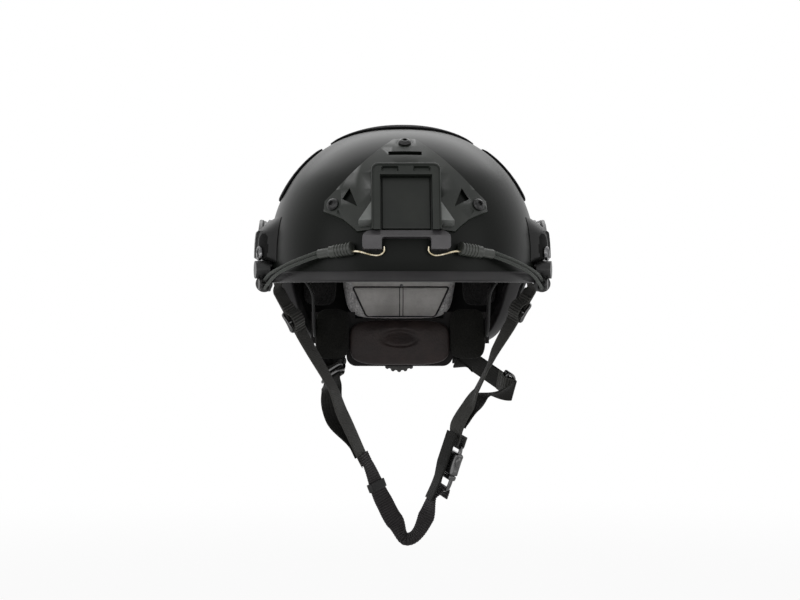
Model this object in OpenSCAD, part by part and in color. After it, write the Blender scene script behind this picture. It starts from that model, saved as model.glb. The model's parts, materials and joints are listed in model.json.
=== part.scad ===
// High-cut ballistic helmet with a front device shroud, side rails, bungees,
// a dial-adjusted nape cradle and a four-point webbing harness.
// The front of the helmet faces -Y, +X is to the right of a viewer in front of it,
// and the origin is the middle of the head opening at the height of the front brim.

/* [Shell] */
// Outside width of the shell
shell_w = 227; // [215:1:240]
// Reach of the shell in front of the origin
shell_front = 138; // [132:1:146]
// Reach of the shell behind the origin
shell_rear = 140; // [134:1:148]
// Height of the crown above the front brim
crown_z = 131.4; // [128:0.1:142]
// Height of the widest section above the front brim
waist_z = 20; // [16:1:26]
// Thickness of the laminated shell
shell_t = 8; // [6.5:0.5:9.5]
// Height of the ear cut above the front brim
ear_h = 27; // [22:1:32]
// Drop of the rear edge below the front brim
rear_drop = 52; // [44:1:60]
// Outward flare of the front brim
brim_flare = 2.2; // [1:0.1:3]

/* [Edge trim] */
// Thickness of the rubber edge trim
trim_t = 1.7; // [1.2:0.1:2.4]
// Height of the trim's legs on the shell
trim_leg = 6.5; // [5:0.5:8]

/* [Rails] */
// Width of a side rail
rail_w = 22; // [20:0.5:24]
// Height of a side rail above the shell
rail_t = 11; // [9.5:0.5:12.5]
// Distance from the ear cut to the middle of the rail
rail_offset = 14; // [13.5:0.5:16]
// Radius of the accessory hole in each rail
accessory_r = 2.6; // [2:0.1:3]

/* [Shroud] */
// Height of the shroud's middle above the front brim
shroud_z = 62.5; // [61:0.5:66]
// Width of the shroud's frame
frame_w = 56; // [52:1:60]
// Height of the shroud's frame along the forehead
frame_h = 59; // [56:1:62]
// Width of the frame's side bars
frame_bar = 9; // [8:0.5:10]
// Height of the frame above the shell
frame_rise = 11; // [9.5:0.5:13]
// Thickness of the shroud's plate
plate_t = 3.2; // [2.6:0.1:3.6]

/* [Pads] */
// Thickness of the comfort pads
pad_t = 18; // [14:1:20]
// Thickness of the hook-and-loop discs behind the pads
disc_t = 1.2; // [0.8:0.1:1.6]
// Thickness of the loop panels on the outside
panel_t = 2; // [1.4:0.1:2.4]

/* [Harness] */
// Width of the webbing
strap_w = 19; // [17:0.5:20]
// Thickness of the webbing
strap_t = 1.5; // [1.2:0.1:1.8]
// Drop of the chin strap below the front brim
chin_drop = 224; // [212:1:236]
// Width of the release buckle
buckle_w = 29; // [27:0.5:32]
// Length of the closed release buckle
buckle_l = 44; // [40:1:48]
// Thickness of the release buckle
buckle_t = 9; // [8:0.5:10]

/* [Nape cradle] */
// Width of the cradle's middle plate
cradle_w = 96; // [92:1:102]
// Height of the cradle's middle plate
cradle_h = 43; // [42:1:46]
// Height of the cradle's middle below the front brim
cradle_drop = 54.5; // [53:0.5:57]
// Diameter of the adjusting dial
dial_d = 47; // [44:1:49]
// Height of the dial's rim
dial_t = 9; // [8:0.5:11]
// Module of the pinion and the racks
gear_module = 1; // [0.95:0.01:1.05]
// Thickness of the head bands
band_t = 2; // [1.6:0.1:2.4]
// Width of the head bands
band_w = 16; // [14:0.5:18]

/* [Bungees] */
// Diameter of the bungee cord
bungee_d = 2.8; // [2.2:0.1:3.2]
// Diameter of the ribbed ferrule
ferrule_d = 11; // [9:0.5:12]
// Diameter of the hook wire
wire_d = 1.7; // [1.4:0.1:2]

/* [Hidden] */

$fn = 48;
fit_gap = 0.3;         // clearance between pieces that seat on each other
inner_gap = 0.9;       // clearance of flat pieces on the hollow side of the shell
slide_gap = 0.4;       // clearance round pieces that slide
plan_power = 2.3;      // squareness of the shell seen from above
side_power = 2.12;     // squareness of the shell seen from the front
flare_h = 18;          // height over which the brim flares
mm_per_deg = 2;        // run along the side of the shell for one degree round it
ear_rise = [66, 86];   // bearings between which the edge climbs to the ear cut
ear_fall = [104, 146]; // bearings between which the edge drops to the nape
rise = crown_z - waist_z;

function unit(v) = v / norm(v);
function mix(a, b, t) = a + (b - a) * t;
function ease(x) = let (c = max(0, min(1, x))) c * c * (3 - 2 * c);
function ramp(x, span) = ease((x - span[0]) / (span[1] - span[0]));
function wrap(phi) = phi > 180 ? phi - 360 : phi;

// The shell's surface. phi is the bearing round +Z from the front, a the angle from the crown,
// h the height above the outer skin.
function reach(phi) = pow(
    pow(abs(sin(phi)) / (shell_w / 2), plan_power)
    + pow(abs(cos(phi)) / (cos(phi) > 0 ? shell_front : shell_rear), plan_power), -1 / plan_power);
function rim_z(phi) = let (u = abs(wrap(phi)))
    ear_h * ramp(u, ear_rise) - (ear_h + rear_drop) * ramp(u, ear_fall);
function angle_at(z) = z > waist_z
    ? acos(pow(min(1, (z - waist_z) / rise), side_power / 2))
    : 90 + (waist_z - z) / rise * 180 / PI;
function height_at(a) = a < 90
    ? waist_z + rise * pow(cos(a), 2 / side_power)
    : waist_z - (a - 90) * PI / 180 * rise;
function spread_at(a) = a < 90 ? pow(sin(a), 2 / side_power) : 1;
function flare_of(phi) = let (u = abs(wrap(phi)))
    brim_flare * (1 - ramp(u, [40, 62]) + 0.6 * ramp(u, [138, 156]));
function flare_at(phi, z) = flare_of(phi)
    * pow(max(0, min(1, 1 - (z - rim_z(phi)) / flare_h)), 2);
function normal_a(phi, a) = let (
    g = spread_at(a), r = reach(phi), half = shell_w / 2,
    depth = cos(phi) > 0 ? shell_front : shell_rear,
    out = pow(g, side_power - 1),
    side = out * pow(r * abs(sin(phi)) / half, plan_power - 1) * sign(sin(phi)) / half,
    along = -out * pow(r * abs(cos(phi)) / depth, plan_power - 1) * sign(cos(phi)) / depth,
    up = pow(max(0, (height_at(a) - waist_z) / rise), side_power - 1) / rise)
    unit([side, along, up]);
function skin_a(phi, a, h) = let (z = height_at(a), r = spread_at(a) * reach(phi) + flare_at(phi, z))
    [r * sin(phi), -r * cos(phi), z] + h * normal_a(phi, a);
function skin(phi, z, h) = skin_a(phi, angle_at(z), h);
function normal_at(phi, z) = normal_a(phi, angle_at(z));

// Solids from a row of loops, each counter-clockwise when seen from the next one.
// ends is "flat", "strip" for two-sided loops, or a pair of pole points.
function side_faces(n, m, closed) = [
    for (i = [0 : n - (closed ? 1 : 2)], j = [0 : m - 1])
        let (k = (i + 1) % n, l = (j + 1) % m)
        each [[i * m + j, k * m + j, k * m + l], [i * m + j, k * m + l, i * m + l]]];
function end_faces(n, m, ends) = let (last = (n - 1) * m)
    ends == "flat" ? [[for (j = [0 : m - 1]) j], [for (j = [m - 1 : -1 : 0]) last + j]]
    : ends == "strip" ? [for (j = [0 : m / 2 - 2])
        let (a = j, b = j + 1, c = m - 2 - j, d = m - 1 - j)
        each [[a, b, c], [a, c, d], [last + c, last + b, last + a], [last + d, last + c, last + a]]]
    : [for (j = [0 : m - 1]) let (l = (j + 1) % m)
        each [[n * m, j, l], [n * m + 1, last + l, last + j]]];
module loft(loops, ends = "flat") {
    n = len(loops);
    m = len(loops[0]);
    poles = is_string(ends) ? [] : ends;
    polyhedron(points = concat([for (l = loops) each l], poles),
        faces = concat(side_faces(n, m, false), end_faces(n, m, ends)));
}
module ring(loops) {
    polyhedron(points = [for (l = loops) each l],
        faces = side_faces(len(loops), len(loops[0]), true));
}

// Places children at a point with the local z axis along n and the local x axis level.
module stand(p, n) {
    x = unit(cross([0, 0, 1], n));
    y = cross(n, x);
    multmatrix([[x.x, y.x, n.x, p.x], [x.y, y.y, n.y, p.y], [x.z, y.z, n.z, p.z], [0, 0, 0, 1]])
        children();
}
module on_skin(phi, z, h = 0) {
    stand(skin(phi, z, h), normal_at(phi, z)) children();
}
// Places children at p with the local z axis along t and the local x axis along w.
module frame_at(p, t, w) {
    x = unit(w - (w * t) * t);
    y = cross(t, x);
    multmatrix([[x.x, y.x, t.x, p.x], [x.y, y.y, t.y, p.y], [x.z, y.z, t.z, p.z], [0, 0, 0, 1]])
        children();
}
// side is 1 for the viewer's right and -1 for the viewer's left.
module on_side(side) {
    if (side > 0) children();
    else mirror([1, 0, 0]) children();
}
module bar(size) {
    translate(-size / 2) cube(size);
}

// Curves from knots, each [point, direction, width direction, stations to the next knot].
function curve_point(a, b, t) = let (
    reach_ab = norm(b[0] - a[0]) / 3, u = 1 - t,
    p1 = a[0] + unit(a[1]) * reach_ab, p2 = b[0] - unit(b[1]) * reach_ab)
    a[0] * u * u * u + p1 * 3 * u * u * t + p2 * 3 * u * t * t + b[0] * t * t * t;
function curve_line(a, b, t) = let (
    reach_ab = norm(b[0] - a[0]) / 3, u = 1 - t,
    p1 = a[0] + unit(a[1]) * reach_ab, p2 = b[0] - unit(b[1]) * reach_ab)
    unit((p1 - a[0]) * u * u + (p2 - p1) * 2 * u * t + (b[0] - p2) * t * t);
function stations(knots) = [
    for (i = [0 : len(knots) - 2], s = [0 : knots[i][3] - (i == len(knots) - 2 ? 0 : 1)])
        let (a = knots[i], b = knots[i + 1], t = s / a[3], d = curve_line(a, b, t),
            w = mix(unit(a[2]), unit(b[2]), t))
        [curve_point(a, b, t), d, unit(w - (w * d) * d)]];
function ribbon_loops(line, width, thick) = [
    for (s = line) let (n = cross(s[1], s[2]), w = s[2] * width / 2, e = n * thick / 2)
        [s[0] + w + e, s[0] - w + e, s[0] - w - e, s[0] + w - e]];
function tube_loops(line, r, sides) = [
    for (s = line) let (n = cross(s[1], s[2]))
        [for (k = [0 : sides - 1]) s[0] + r * (cos(k * 360 / sides) * s[2] + sin(k * 360 / sides) * n)]];
module ribbon(knots, width = strap_w, thick = strap_t) {
    loft(ribbon_loops(stations(knots), width, thick));
}
module tube(knots, r, sides = 8) {
    loft(tube_loops(stations(knots), r, sides));
}

// Rounded patches and cushions that follow the shell. Each ring of a patch is [share, h].
function corner(t, q) = [sign(cos(t)) * pow(abs(cos(t)), 2 / q), sign(sin(t)) * pow(abs(sin(t)), 2 / q)];
function patch_point(box, share, t, h) = let (c = share * corner(t, 5))
    skin(box[0] + box[1] * c.x * (1 + box[4] * c.y), box[2] + box[3] * c.y, h);
module patch(box, rings, steps = 28) {
    loft([for (r = rings) [for (k = [0 : steps - 1]) patch_point(box, r[0], (k + 0.5) * 360 / steps, r[1])]],
        [skin(box[0], box[2], rings[0][1]), skin(box[0], box[2], rings[len(rings) - 1][1])]);
}
function sheet_rings(low, high) = [
    [0.25, low], [0.5, low], [0.75, low], [0.95, low], [1, mix(low, high, 0.4)], [0.97, high], [0.75, high],
    [0.5, high], [0.25, high]];
// A cushion's rings, from its crowned face at the head to its flat back.
function cushion_rings(face, back) = let (t = back - face) [
    [0.3, face], [0.6, face + 0.03 * t], [0.8, face + 0.1 * t], [0.92, face + 0.22 * t],
    [0.99, face + 0.4 * t], [1, face + 0.6 * t], [0.96, face + 0.85 * t], [0.9, back], [0.5, back]];

// A layer of the forehead between two heights, used to seat the shroud on the curve.
module forehead_layer(low, high) {
    bearings = [for (phi = [-42 : 6 : 42]) phi];
    angles = [for (k = [0 : 12]) mix(angle_at(8), angle_at(134), k / 12)];
    loft([for (phi = bearings) concat(
        [for (a = angles) skin_a(phi, a, low)],
        [for (k = [12 : -1 : 0]) skin_a(phi, angles[k], high)])], "strip");
}

// Fasteners. The head's underside lies in the plane z = 0.
screw_head_r = 5.2;
screw_head_h = 3;
shank_r = 2;
nut_bore_r = 2.15;
nut_barrel_r = 3.1;
nut_flange_r = 6.6;
nut_flange_t = 1.5;
hole_r = 3.4;
module button_screw(reach_in) {
    difference() {
        union() {
            rotate_extrude() polygon([[0, 0], [screw_head_r, 0], [screw_head_r, 1],
                [screw_head_r - 0.8, 2.2], [screw_head_r - 2.2, screw_head_h], [0, screw_head_h]]);
            translate([0, 0, -reach_in]) cylinder(r = shank_r, h = reach_in + 0.5);
        }
        translate([0, 0, 1.2]) cylinder(r = 2.2, h = screw_head_h, $fn = 6);
    }
}
// A flanged nut inside the shell, with its flange's outer face in the plane z = 0.
module flanged_nut() {
    difference() {
        union() {
            translate([0, 0, -nut_flange_t]) cylinder(r = nut_flange_r, h = nut_flange_t);
            cylinder(r = nut_barrel_r, h = shell_t - 0.5);
        }
        translate([0, 0, -nut_flange_t - 1]) cylinder(r = nut_bore_r, h = shell_t + 4);
    }
}
module skin_hole(phi, z, r = hole_r) {
    on_skin(phi, z) translate([0, 0, -shell_t - 6]) cylinder(r = r, h = shell_t + 8, $fn = 12);
}
module skin_nut(phi, z) {
    on_skin(phi, z, -shell_t - inner_gap) flanged_nut();
}

// Shell and trim
rail_marks = [76, 122];       // rim bearings of a rail's two screws
function rim_slope(u) = atan((rim_z(u + 0.5) - rim_z(u - 0.5)) / mm_per_deg);
function rail_spot(u) = let (s = rim_slope(u))
    [u - rail_offset * sin(s) / mm_per_deg, rim_z(u) + rail_offset * cos(s)];
shroud_spots = [[0, 109.5], [26, 59], [-26, 59]];
bracket_spot = [150.5, -36];
harness_spot = [81, 40];
band_spot = [100, 41];
module shell() {
    around = 60;
    down = 19;
    color([0.06, 0.065, 0.06]) difference() {
        loft(concat(
            [for (j = [1 : down]) [for (k = [around - 1 : -1 : 0]) let (phi = k * 360 / around)
                skin_a(phi, angle_at(rim_z(phi)) * j / down, 0)]],
            [for (j = [down : -1 : 1]) [for (k = [around - 1 : -1 : 0]) let (phi = k * 360 / around)
                skin_a(phi, angle_at(rim_z(phi)) * j / down, -shell_t)]]),
            [[0, 0, crown_z], [0, 0, crown_z - shell_t]]);
        for (s = shroud_spots) skin_hole(s[0], s[1]);
        for (side = [-1, 1]) on_side(side) {
            for (u = rail_marks) skin_hole(rail_spot(u)[0], rail_spot(u)[1]);
            skin_hole(bracket_spot[0], bracket_spot[1]);
        }
    }
}
module edge_trim() {
    leg_in = function (phi) flare_of(phi) * (1 - pow(1 - trim_leg / flare_h, 2));
    color([0.09, 0.09, 0.09]) ring([for (phi = [0 : 6 : 354])
        let (c = skin(phi, rim_z(phi), 0), n = normal_at(phi, rim_z(phi)),
            t = unit(skin(phi + 0.5, rim_z(phi + 0.5), 0) - skin(phi - 0.5, rim_z(phi - 0.5), 0)),
            up = cross(n, t), d = leg_in(phi), g = fit_gap, o = fit_gap + trim_t)
        [for (p = [[-o, -shell_t - o], [trim_leg, -shell_t - o - 0.2 - d], [trim_leg, -shell_t - g - 0.2 - d],
            [-g, -shell_t - g], [-g, g], [trim_leg, g - d], [trim_leg, o - d], [-o, o]])
            c + p[0] * up + p[1] * n]]);
}

// Side rails
rail_ends = [73.6, 134];
nose_spot = [67.4, 9];
cleat_spot = [65.5, -3.2];
accessory_mark = 129;
seat_h = 3;                    // height at which the bosses start inside the rail
screw_h = rail_t - 4;          // height of the recessed seats of the rail's screws
module rail_body() {
    w = rail_w / 2;
    t = rail_t;
    rebate = trim_t + 0.8;
    outline = [[-w, rebate], [4.4 - w, rebate], [4.4 - w, fit_gap], [w, fit_gap],
        [w, 0.3 * t], [w - 3, 0.42 * t], [w - 3, 0.6 * t], [w - 1, 0.75 * t], [w - 1, 0.94 * t], [w - 1.8, t], [3.4, t], [3.4, t - 3], [-3.4, t - 3],
        [-3.4, t], [1.8 - w, t], [1 - w, 0.94 * t], [1 - w, 0.75 * t], [3 - w, 0.6 * t], [3 - w, 0.42 * t],
        [-w, 0.3 * t]];
    count = 26;
    loft([for (i = [0 : count]) let (
        u = mix(rail_ends[0], rail_ends[1], i / count),
        p = rail_spot(u), a = rail_spot(u - 0.3), b = rail_spot(u + 0.3),
        c = skin(p[0], p[1], 0.35), n = normal_at(p[0], p[1]),
        d = unit(skin(b[0], b[1], 0) - skin(a[0], a[1], 0)), up = unit(cross(n, d)),
        low = 0.45 + 0.55 * ease(min(i, count - i) / 3))
        [for (q = outline) c + q[0] * up + mix(min(q[1], rebate), q[1], low) * n]]);
}
module rail(side) {
    color([0.12, 0.12, 0.12]) on_side(side) difference() {
        union() {
            rail_body();
            for (u = rail_marks) on_skin(rail_spot(u)[0], rail_spot(u)[1], seat_h)
                cylinder(r = 8.6, h = screw_h - seat_h);
        }
        for (u = rail_marks) on_skin(rail_spot(u)[0], rail_spot(u)[1]) {
            translate([0, 0, -1]) cylinder(r = shank_r + 0.3, h = rail_t + 4);
            translate([0, 0, screw_h]) cylinder(r = 7.8, h = 7);
        }
        on_skin(rail_spot(accessory_mark)[0], rail_spot(accessory_mark)[1])
            translate([0, 0, -1]) cylinder(r = accessory_r, h = rail_t + 4);
    }
}
// The round block below each rail's front end, with the post that a bungee loops round
module bungee_anchor(side) {
    color([0.11, 0.11, 0.11]) on_side(side) {
        on_skin(nose_spot[0], nose_spot[1]) {
            translate([0, 0, seat_h]) cylinder(r = 7.4, h = rail_t + 0.8);
            translate([1, 3.6, 0.6]) cylinder(r = 3.2, h = seat_h);
        }
        on_skin(cleat_spot[0], cleat_spot[1], seat_h - 0.2) {
            linear_extrude(1.8) {
                circle(r = 6);
                translate([2.2, 6]) circle(r = 5);
            }
            translate([0, 0, 1]) cylinder(r = 1.3, h = 8);
            translate([0, 0, 7.9]) cylinder(r = 4.6, h = 1.6);
        }
    }
}
module rail_screws(side) {
    color([0.3, 0.3, 0.31]) on_side(side) for (u = rail_marks)
        on_skin(rail_spot(u)[0], rail_spot(u)[1], screw_h + 0.2) {
            translate([0, 0, 1.2]) button_screw(screw_h + shell_t - 1);
            difference() {
                cylinder(r = 7.4, h = 1.2);
                translate([0, 0, -1]) cylinder(r = shank_r + 0.2, h = 4);
            }
        }
}
module rail_nuts() {
    color([0.25, 0.25, 0.26]) for (side = [-1, 1], u = rail_marks)
        on_side(side) skin_nut(rail_spot(u)[0], rail_spot(u)[1]);
}

// Front shroud
slot_w = 27;
slot_h = 4.6;
module shroud_outline() {
    half = frame_w / 2;
    wing = [[9, 68.5], [18, 58], [half + 28, 15.5], [half + 37, 7.5], [half + 38, -1.5], [half + 22, -12.5],
        [half + 11, -24]];
    polygon(concat(wing, [for (i = [len(wing) - 1 : -1 : 0]) [-wing[i].x, wing[i].y]]));
}
module on_forehead() {
    on_skin(0, shroud_z) children();
}
module shroud_plate() {
    half = frame_w / 2;
    foot = frame_h / 2;
    inner = half - frame_bar;
    color([0.16, 0.17, 0.16]) difference() {
        union() {
            intersection() {
                on_forehead() translate([0, 0, -60]) linear_extrude(90) shroud_outline();
                forehead_layer(fit_gap + 0.2, plate_t + 0.2);
            }
            difference() {
                on_forehead() {
                    translate([0, 0, -7]) linear_extrude(7 + frame_rise) difference() {
                        translate([-half, -foot]) square([frame_w, frame_h]);
                        translate([-inner, -foot + 6]) square([2 * inner, frame_h - 16]);
                    }
                    for (s = [-1, 1]) {
                        translate([s * (inner - 0.7), 0, frame_rise - 1.5]) bar([1.6, frame_h - 12, 3]);
                        translate([s * half, 0, 0]) linear_extrude(frame_rise - 3)
                            polygon([[0, 2], [0, -16], [s * 9, -16]]);
                    }
                    translate([0, foot - 12, frame_rise - 2]) bar([16, 8, 4]);
                }
                forehead_layer(-24, fit_gap + 0.2);
            }
        }
        on_skin(0, bridge_z) translate([0, 0, 10]) bar([bridge_w + 1, bridge_h + 0.8, 40]);
        on_forehead() {
            translate([0, 48.5, 0]) bar([slot_w, slot_h, 80]);
            for (s = [-1, 1]) translate([0, 0, -40]) linear_extrude(80)
                polygon([[s * 45, 14.5], [s * 39, -3.5], [s * 51, 5.5]]);
        }
        for (s = shroud_spots) on_skin(s[0], s[1]) cylinder(r = shank_r + 0.3, h = 20, center = true);
        for (s = shroud_spots) on_skin(s[0], s[1], plate_t - 0.3) cylinder(r = screw_head_r + 2.2, h = 20);
    }
}
module shroud_insert() {
    inner = frame_w / 2 - frame_bar - fit_gap;
    height = frame_h - 16 - 2 * fit_gap;
    color([0.2, 0.21, 0.2]) on_forehead() translate([0, -2, plate_t + 0.5]) difference() {
        translate([-inner, -height / 2, 0]) cube([2 * inner, height, 2.4]);
        translate([0, -height / 2 + 8, 1.4]) bar([12, 6, 4]);
    }
}
module shroud_screws() {
    color([0.12, 0.12, 0.12]) for (s = shroud_spots)
        on_skin(s[0], s[1], plate_t) button_screw(plate_t + shell_t - 1);
}
module shroud_nuts() {
    color([0.25, 0.25, 0.26]) for (s = shroud_spots) skin_nut(s[0], s[1]);
}
bridge_w = 70;
bridge_h = 15.5;
bridge_leg = 15.5;
bridge_z = 30.6;
bridge_rise = 13;
bridge_round = 7;
bridge_foot = 3;
bridge_bevel = 6.4;
module bridge_outline() {
    w = bridge_w / 2;
    h = bridge_h / 2;
    inside = w - bridge_leg;
    difference() {
        hull() for (s = [-1, 1]) {
            translate([s * (w - bridge_round), h - bridge_round]) circle(r = bridge_round, $fn = 40);
            translate([s * (w - bridge_foot), bridge_foot - h]) circle(r = bridge_foot, $fn = 24);
        }
        hull() {
            for (s = [-1, 1]) translate([s * (inside - 2), h - 8]) circle(r = 2, $fn = 24);
            translate([-inside, -h - 5]) square([2 * inside, 5]);
        }
    }
}
module bungee_bridge() {
    color([0.24, 0.24, 0.26]) difference() {
        on_skin(0, bridge_z) difference() {
            translate([0, 0, -8]) linear_extrude(8 + bridge_rise) bridge_outline();
            translate([0, bridge_h / 2, bridge_rise]) rotate([45, 0, 0])
                bar([bridge_w + 2, bridge_bevel, bridge_bevel]);
        }
        forehead_layer(-24, fit_gap + 0.3);
    }
}

// Loop panels outside, comfort pads inside
panel_low = 0.95;
side_panel = [98, 25, 90, 22, -0.1];
crown_reach = [31, 15];         // half the crown panel's angle, to the side and to the front
function crown_share(phi) = 1 / norm([sin(phi) / crown_reach[0], cos(phi) / crown_reach[1]]);
module loop_panel(side) {
    color([0.05, 0.05, 0.055]) on_side(side)
        patch(side_panel, sheet_rings(panel_low, panel_low + panel_t), 32);
}
module loop_panel_crown() {
    low = panel_low;
    high = panel_low + panel_t;
    rings = [[0.42, low], [0.8, low], [1, mix(low, high, 0.4)], [0.96, high], [0.8, high], [0.42, high]];
    color([0.05, 0.05, 0.055]) loft([for (r = rings) [for (k = [0 : 31]) let (phi = k * 360 / 32)
        skin_a(phi, r[0] * crown_share(phi), r[1])]],
        [[0, 0, crown_z + low], [0, 0, crown_z + high]]);
}
disc_r = 9;
pad_back = -shell_t - disc_t - inner_gap - fit_gap;
pad_face = pad_back - pad_t;
brow_box = [0, 36, 32, 19, 0];
rear_box = [180, 24, -3, 31, 0.16];
side_box = [90, 19, 75, 20, 0];
corner_box = [140, 9, 7, 29, 0];
crown_pad_angle = 24;
pad_boxes = [brow_box, rear_box];
module pad(box, face = pad_face) {
    patch(box, cushion_rings(face, pad_back));
}
// A pad sewn into four panels, as columns of points over its face and back over its rear
module quilted_pad(box, seam_z) {
    cuts = [-1, -0.97, -0.86, -0.6, -0.3, -0.09, 0, 0.09, 0.3, 0.6, 0.86, 0.97, 1];
    last = len(cuts) - 1;
    function spot(u, v, h) = skin(box[0] + box[1] * u * (1 - 0.12 * pow(v, 8)) * (1 + box[4] * v),
        box[2] + box[3] * v * (1 - 0.08 * pow(u, 8)), h);
    function dip(d) = 0.16 * max(0, 1 - pow(d / 0.2, 2));
    function face_h(u, v) = let (edge = pow(max(abs(u), abs(v)), 9))
        mix(pad_face, pad_back, 0.4 * edge + (1 - edge) * max(dip(u), dip(v - seam_z)));
    loft([for (u = cuts) concat(
        [for (k = [0 : last]) spot(u, cuts[k], face_h(u, cuts[k]))],
        [for (k = [last : -1 : 0]) spot(u * 0.94, cuts[k] * 0.95, pad_back)])], "strip");
}
module crown_pad() {
    color([0.1, 0.1, 0.1]) loft([for (r = cushion_rings(pad_face, pad_back))
        [for (k = [0 : 27]) skin_a(k * 360 / 28, r[0] * crown_pad_angle, r[1])]],
        [[0, 0, crown_z + pad_face], [0, 0, crown_z + pad_back]]);
}
module disc(phi, z) {
    on_skin(phi, z, pad_back + fit_gap) cylinder(r = disc_r, h = disc_t);
}
module pad_discs() {
    color([0.04, 0.04, 0.04]) {
        for (b = pad_boxes) disc(b[0], b[2]);
        for (side = [-1, 1]) on_side(side) {
            disc(side_box[0], side_box[2]);
            disc(corner_box[0], corner_box[2]);
        }
        translate([0, 0, crown_z + pad_back + fit_gap]) cylinder(r = disc_r, h = disc_t);
    }
}

// Nape cradle
dial_z = -58.5;
pitch_r = 6 * gear_module;
teeth = 12;
rack_t = 3.4;
wall = 2.2;
travel = 20;
wing_x = shell_w / 2 - 37.5;
wing_y = [64, 90];
wing_z = [-55, -27];
wing_half = 3.2;
tail_z = -41;
pad_at = [wing_x - 13.5, wing_y[0] + 9.5];
chamber_y = [94.4, 102.6];
knob_y = 105.2;
axle_r = 1.6;
cover_hole_r = 8;
cover_w = cradle_w - 6;
module rounded_plate(w, h, r) {
    hull() for (x = [-1, 1], z = [-1, 1])
        translate([x * (w / 2 - r), z * (h / 2 - r)]) circle(r = r, $fn = 32);
}
module facing_back(y) {
    translate([0, y, 0]) rotate([90, 0, 0]) mirror([0, 0, 1]) children();
}
// The plan of one wing, with a slanted face that carries its pad
module wing_outline() {
    back = chamber_y[0] - 0.1;
    polygon([[cradle_w / 2 - 8, back], [62, back], [wing_x + wing_half, wing_y[1] - 6],
        [wing_x + wing_half, wing_y[0]], [wing_x - wing_half, wing_y[0]],
        [pad_at.x + 8.5, pad_at.y - 8.5], [pad_at.x - 11, pad_at.y + 11], [cradle_w / 2 + 0.4, back - 4],
        [cradle_w / 2 - 0.6, back - 2.8], [cradle_w / 2 - 8, back - 2.8]]);
}
module nape_cradle() {
    color([0.13, 0.13, 0.13]) difference() {
        union() {
            translate([0, 0, -cradle_drop]) facing_back(chamber_y[0] - 3)
                linear_extrude(3) rounded_plate(cradle_w, cradle_h, 9);
            for (s = [-1, 1]) translate([0, 0, wing_z[0]])
                linear_extrude(wing_z[1] - wing_z[0]) scale([s, 1]) wing_outline();
        }
        for (s = [-1, 1]) translate([s * wing_x, wing_y[1], tail_z])
            bar([band_t + 2 * slide_gap, 60, band_w + 2 * slide_gap]);
        translate([0, chamber_y[0] - 5, dial_z]) rotate([-90, 0, 0]) cylinder(r = axle_r + 0.05, h = 8);
    }
}
module cradle_cover() {
    color([0.11, 0.11, 0.11]) difference() {
        translate([0, 0, -cradle_drop]) facing_back(chamber_y[0] + 0.05)
            linear_extrude(chamber_y[1] - chamber_y[0] + wall) rounded_plate(cover_w, cradle_h, 9);
        translate([0, (chamber_y[0] + chamber_y[1]) / 2, dial_z])
            bar([cover_w - 2 * wall, chamber_y[1] - chamber_y[0] + 0.1, 2 * (pitch_r + 6.4 * gear_module)]);
        translate([0, chamber_y[0], dial_z]) rotate([-90, 0, 0]) cylinder(r = cover_hole_r, h = 20);
    }
}
module nape_pad() {
    half = cradle_w / 2 - 1.5;
    tall = cradle_h / 2 - 0.5;
    back = chamber_y[0] - 3 - fit_gap;
    function at(share, t, y) = let (c = share * corner(t, 4))
        [half * c.x, y - 4 * c.x * c.x, -cradle_drop + tall * c.y];
    rings = [[0.9, 0], [1, -2.5], [1, -5], [0.95, -7.5], [0.84, -9.5], [0.6, -10.4], [0.42, -10.6],
        [0.37, -9.3], [0.31, -10.6], [0.15, -10.8]];
    color([0.15, 0.12, 0.12]) loft([for (r = rings)
        [for (k = [0 : 27]) let (p = at(r[0], (k + 0.5) * 360 / 28, back + r[1]))
            [p.x, r[1] == 0 ? back : p.y, p.z]]],
        [[0, back, -cradle_drop], [0, back - 10.9, -cradle_drop]]);
}
module wing_pad(side) {
    half = [16.5, 20];
    inward = [-1, -1, 0] / sqrt(2);
    across = [1, -1, 0] / sqrt(2);
    seat = [pad_at.x, pad_at.y, -45] + fit_gap * inward;
    color([0.05, 0.05, 0.05]) on_side(side) loft([
        for (r = [[0.3, 7], [0.6, 6.6], [0.85, 5.2], [0.97, 3], [1, 1.4], [0.95, 0], [0.5, 0]])
        [for (k = [23 : -1 : 0]) let (c = r[0] * corner((k + 0.5) * 15, 3))
            seat + r[1] * inward + c.x * half.x * across + [0, 0, c.y * half.y]]],
        [seat + 7 * inward, seat]);
}
module dial_axle() {
    color([0.5, 0.5, 0.52]) translate([0, chamber_y[0] - 2.8, dial_z]) rotate([-90, 0, 0])
        cylinder(r = axle_r, h = knob_y - chamber_y[0] + 8);
}
grip_count = 24;
module dial_knob() {
    r = dial_d / 2;
    color([0.1, 0.1, 0.1]) translate([0, knob_y, dial_z]) rotate([-90, 0, 0]) difference() {
        union() {
            cylinder(r = r - 1.6, h = dial_t);
            for (k = [0 : grip_count - 1]) rotate([0, 0, k * 360 / grip_count])
                translate([r - 1.9, 0, 0.8]) cylinder(r = 1.9, h = dial_t - 1.6, $fn = 16);
            translate([0, 0, chamber_y[1] - knob_y - 0.6])
                cylinder(r = cover_hole_r - 0.4, h = knob_y - chamber_y[1] + 2);
        }
        translate([0, 0, -6]) cylinder(r = axle_r + 0.06, h = dial_t + 4.5);
        translate([0, 0, dial_t - 2]) difference() {
            cylinder(r = r - 5, h = 3);
            translate([0, 0, -1]) cylinder(r = 6, h = 5);
        }
    }
}

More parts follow.
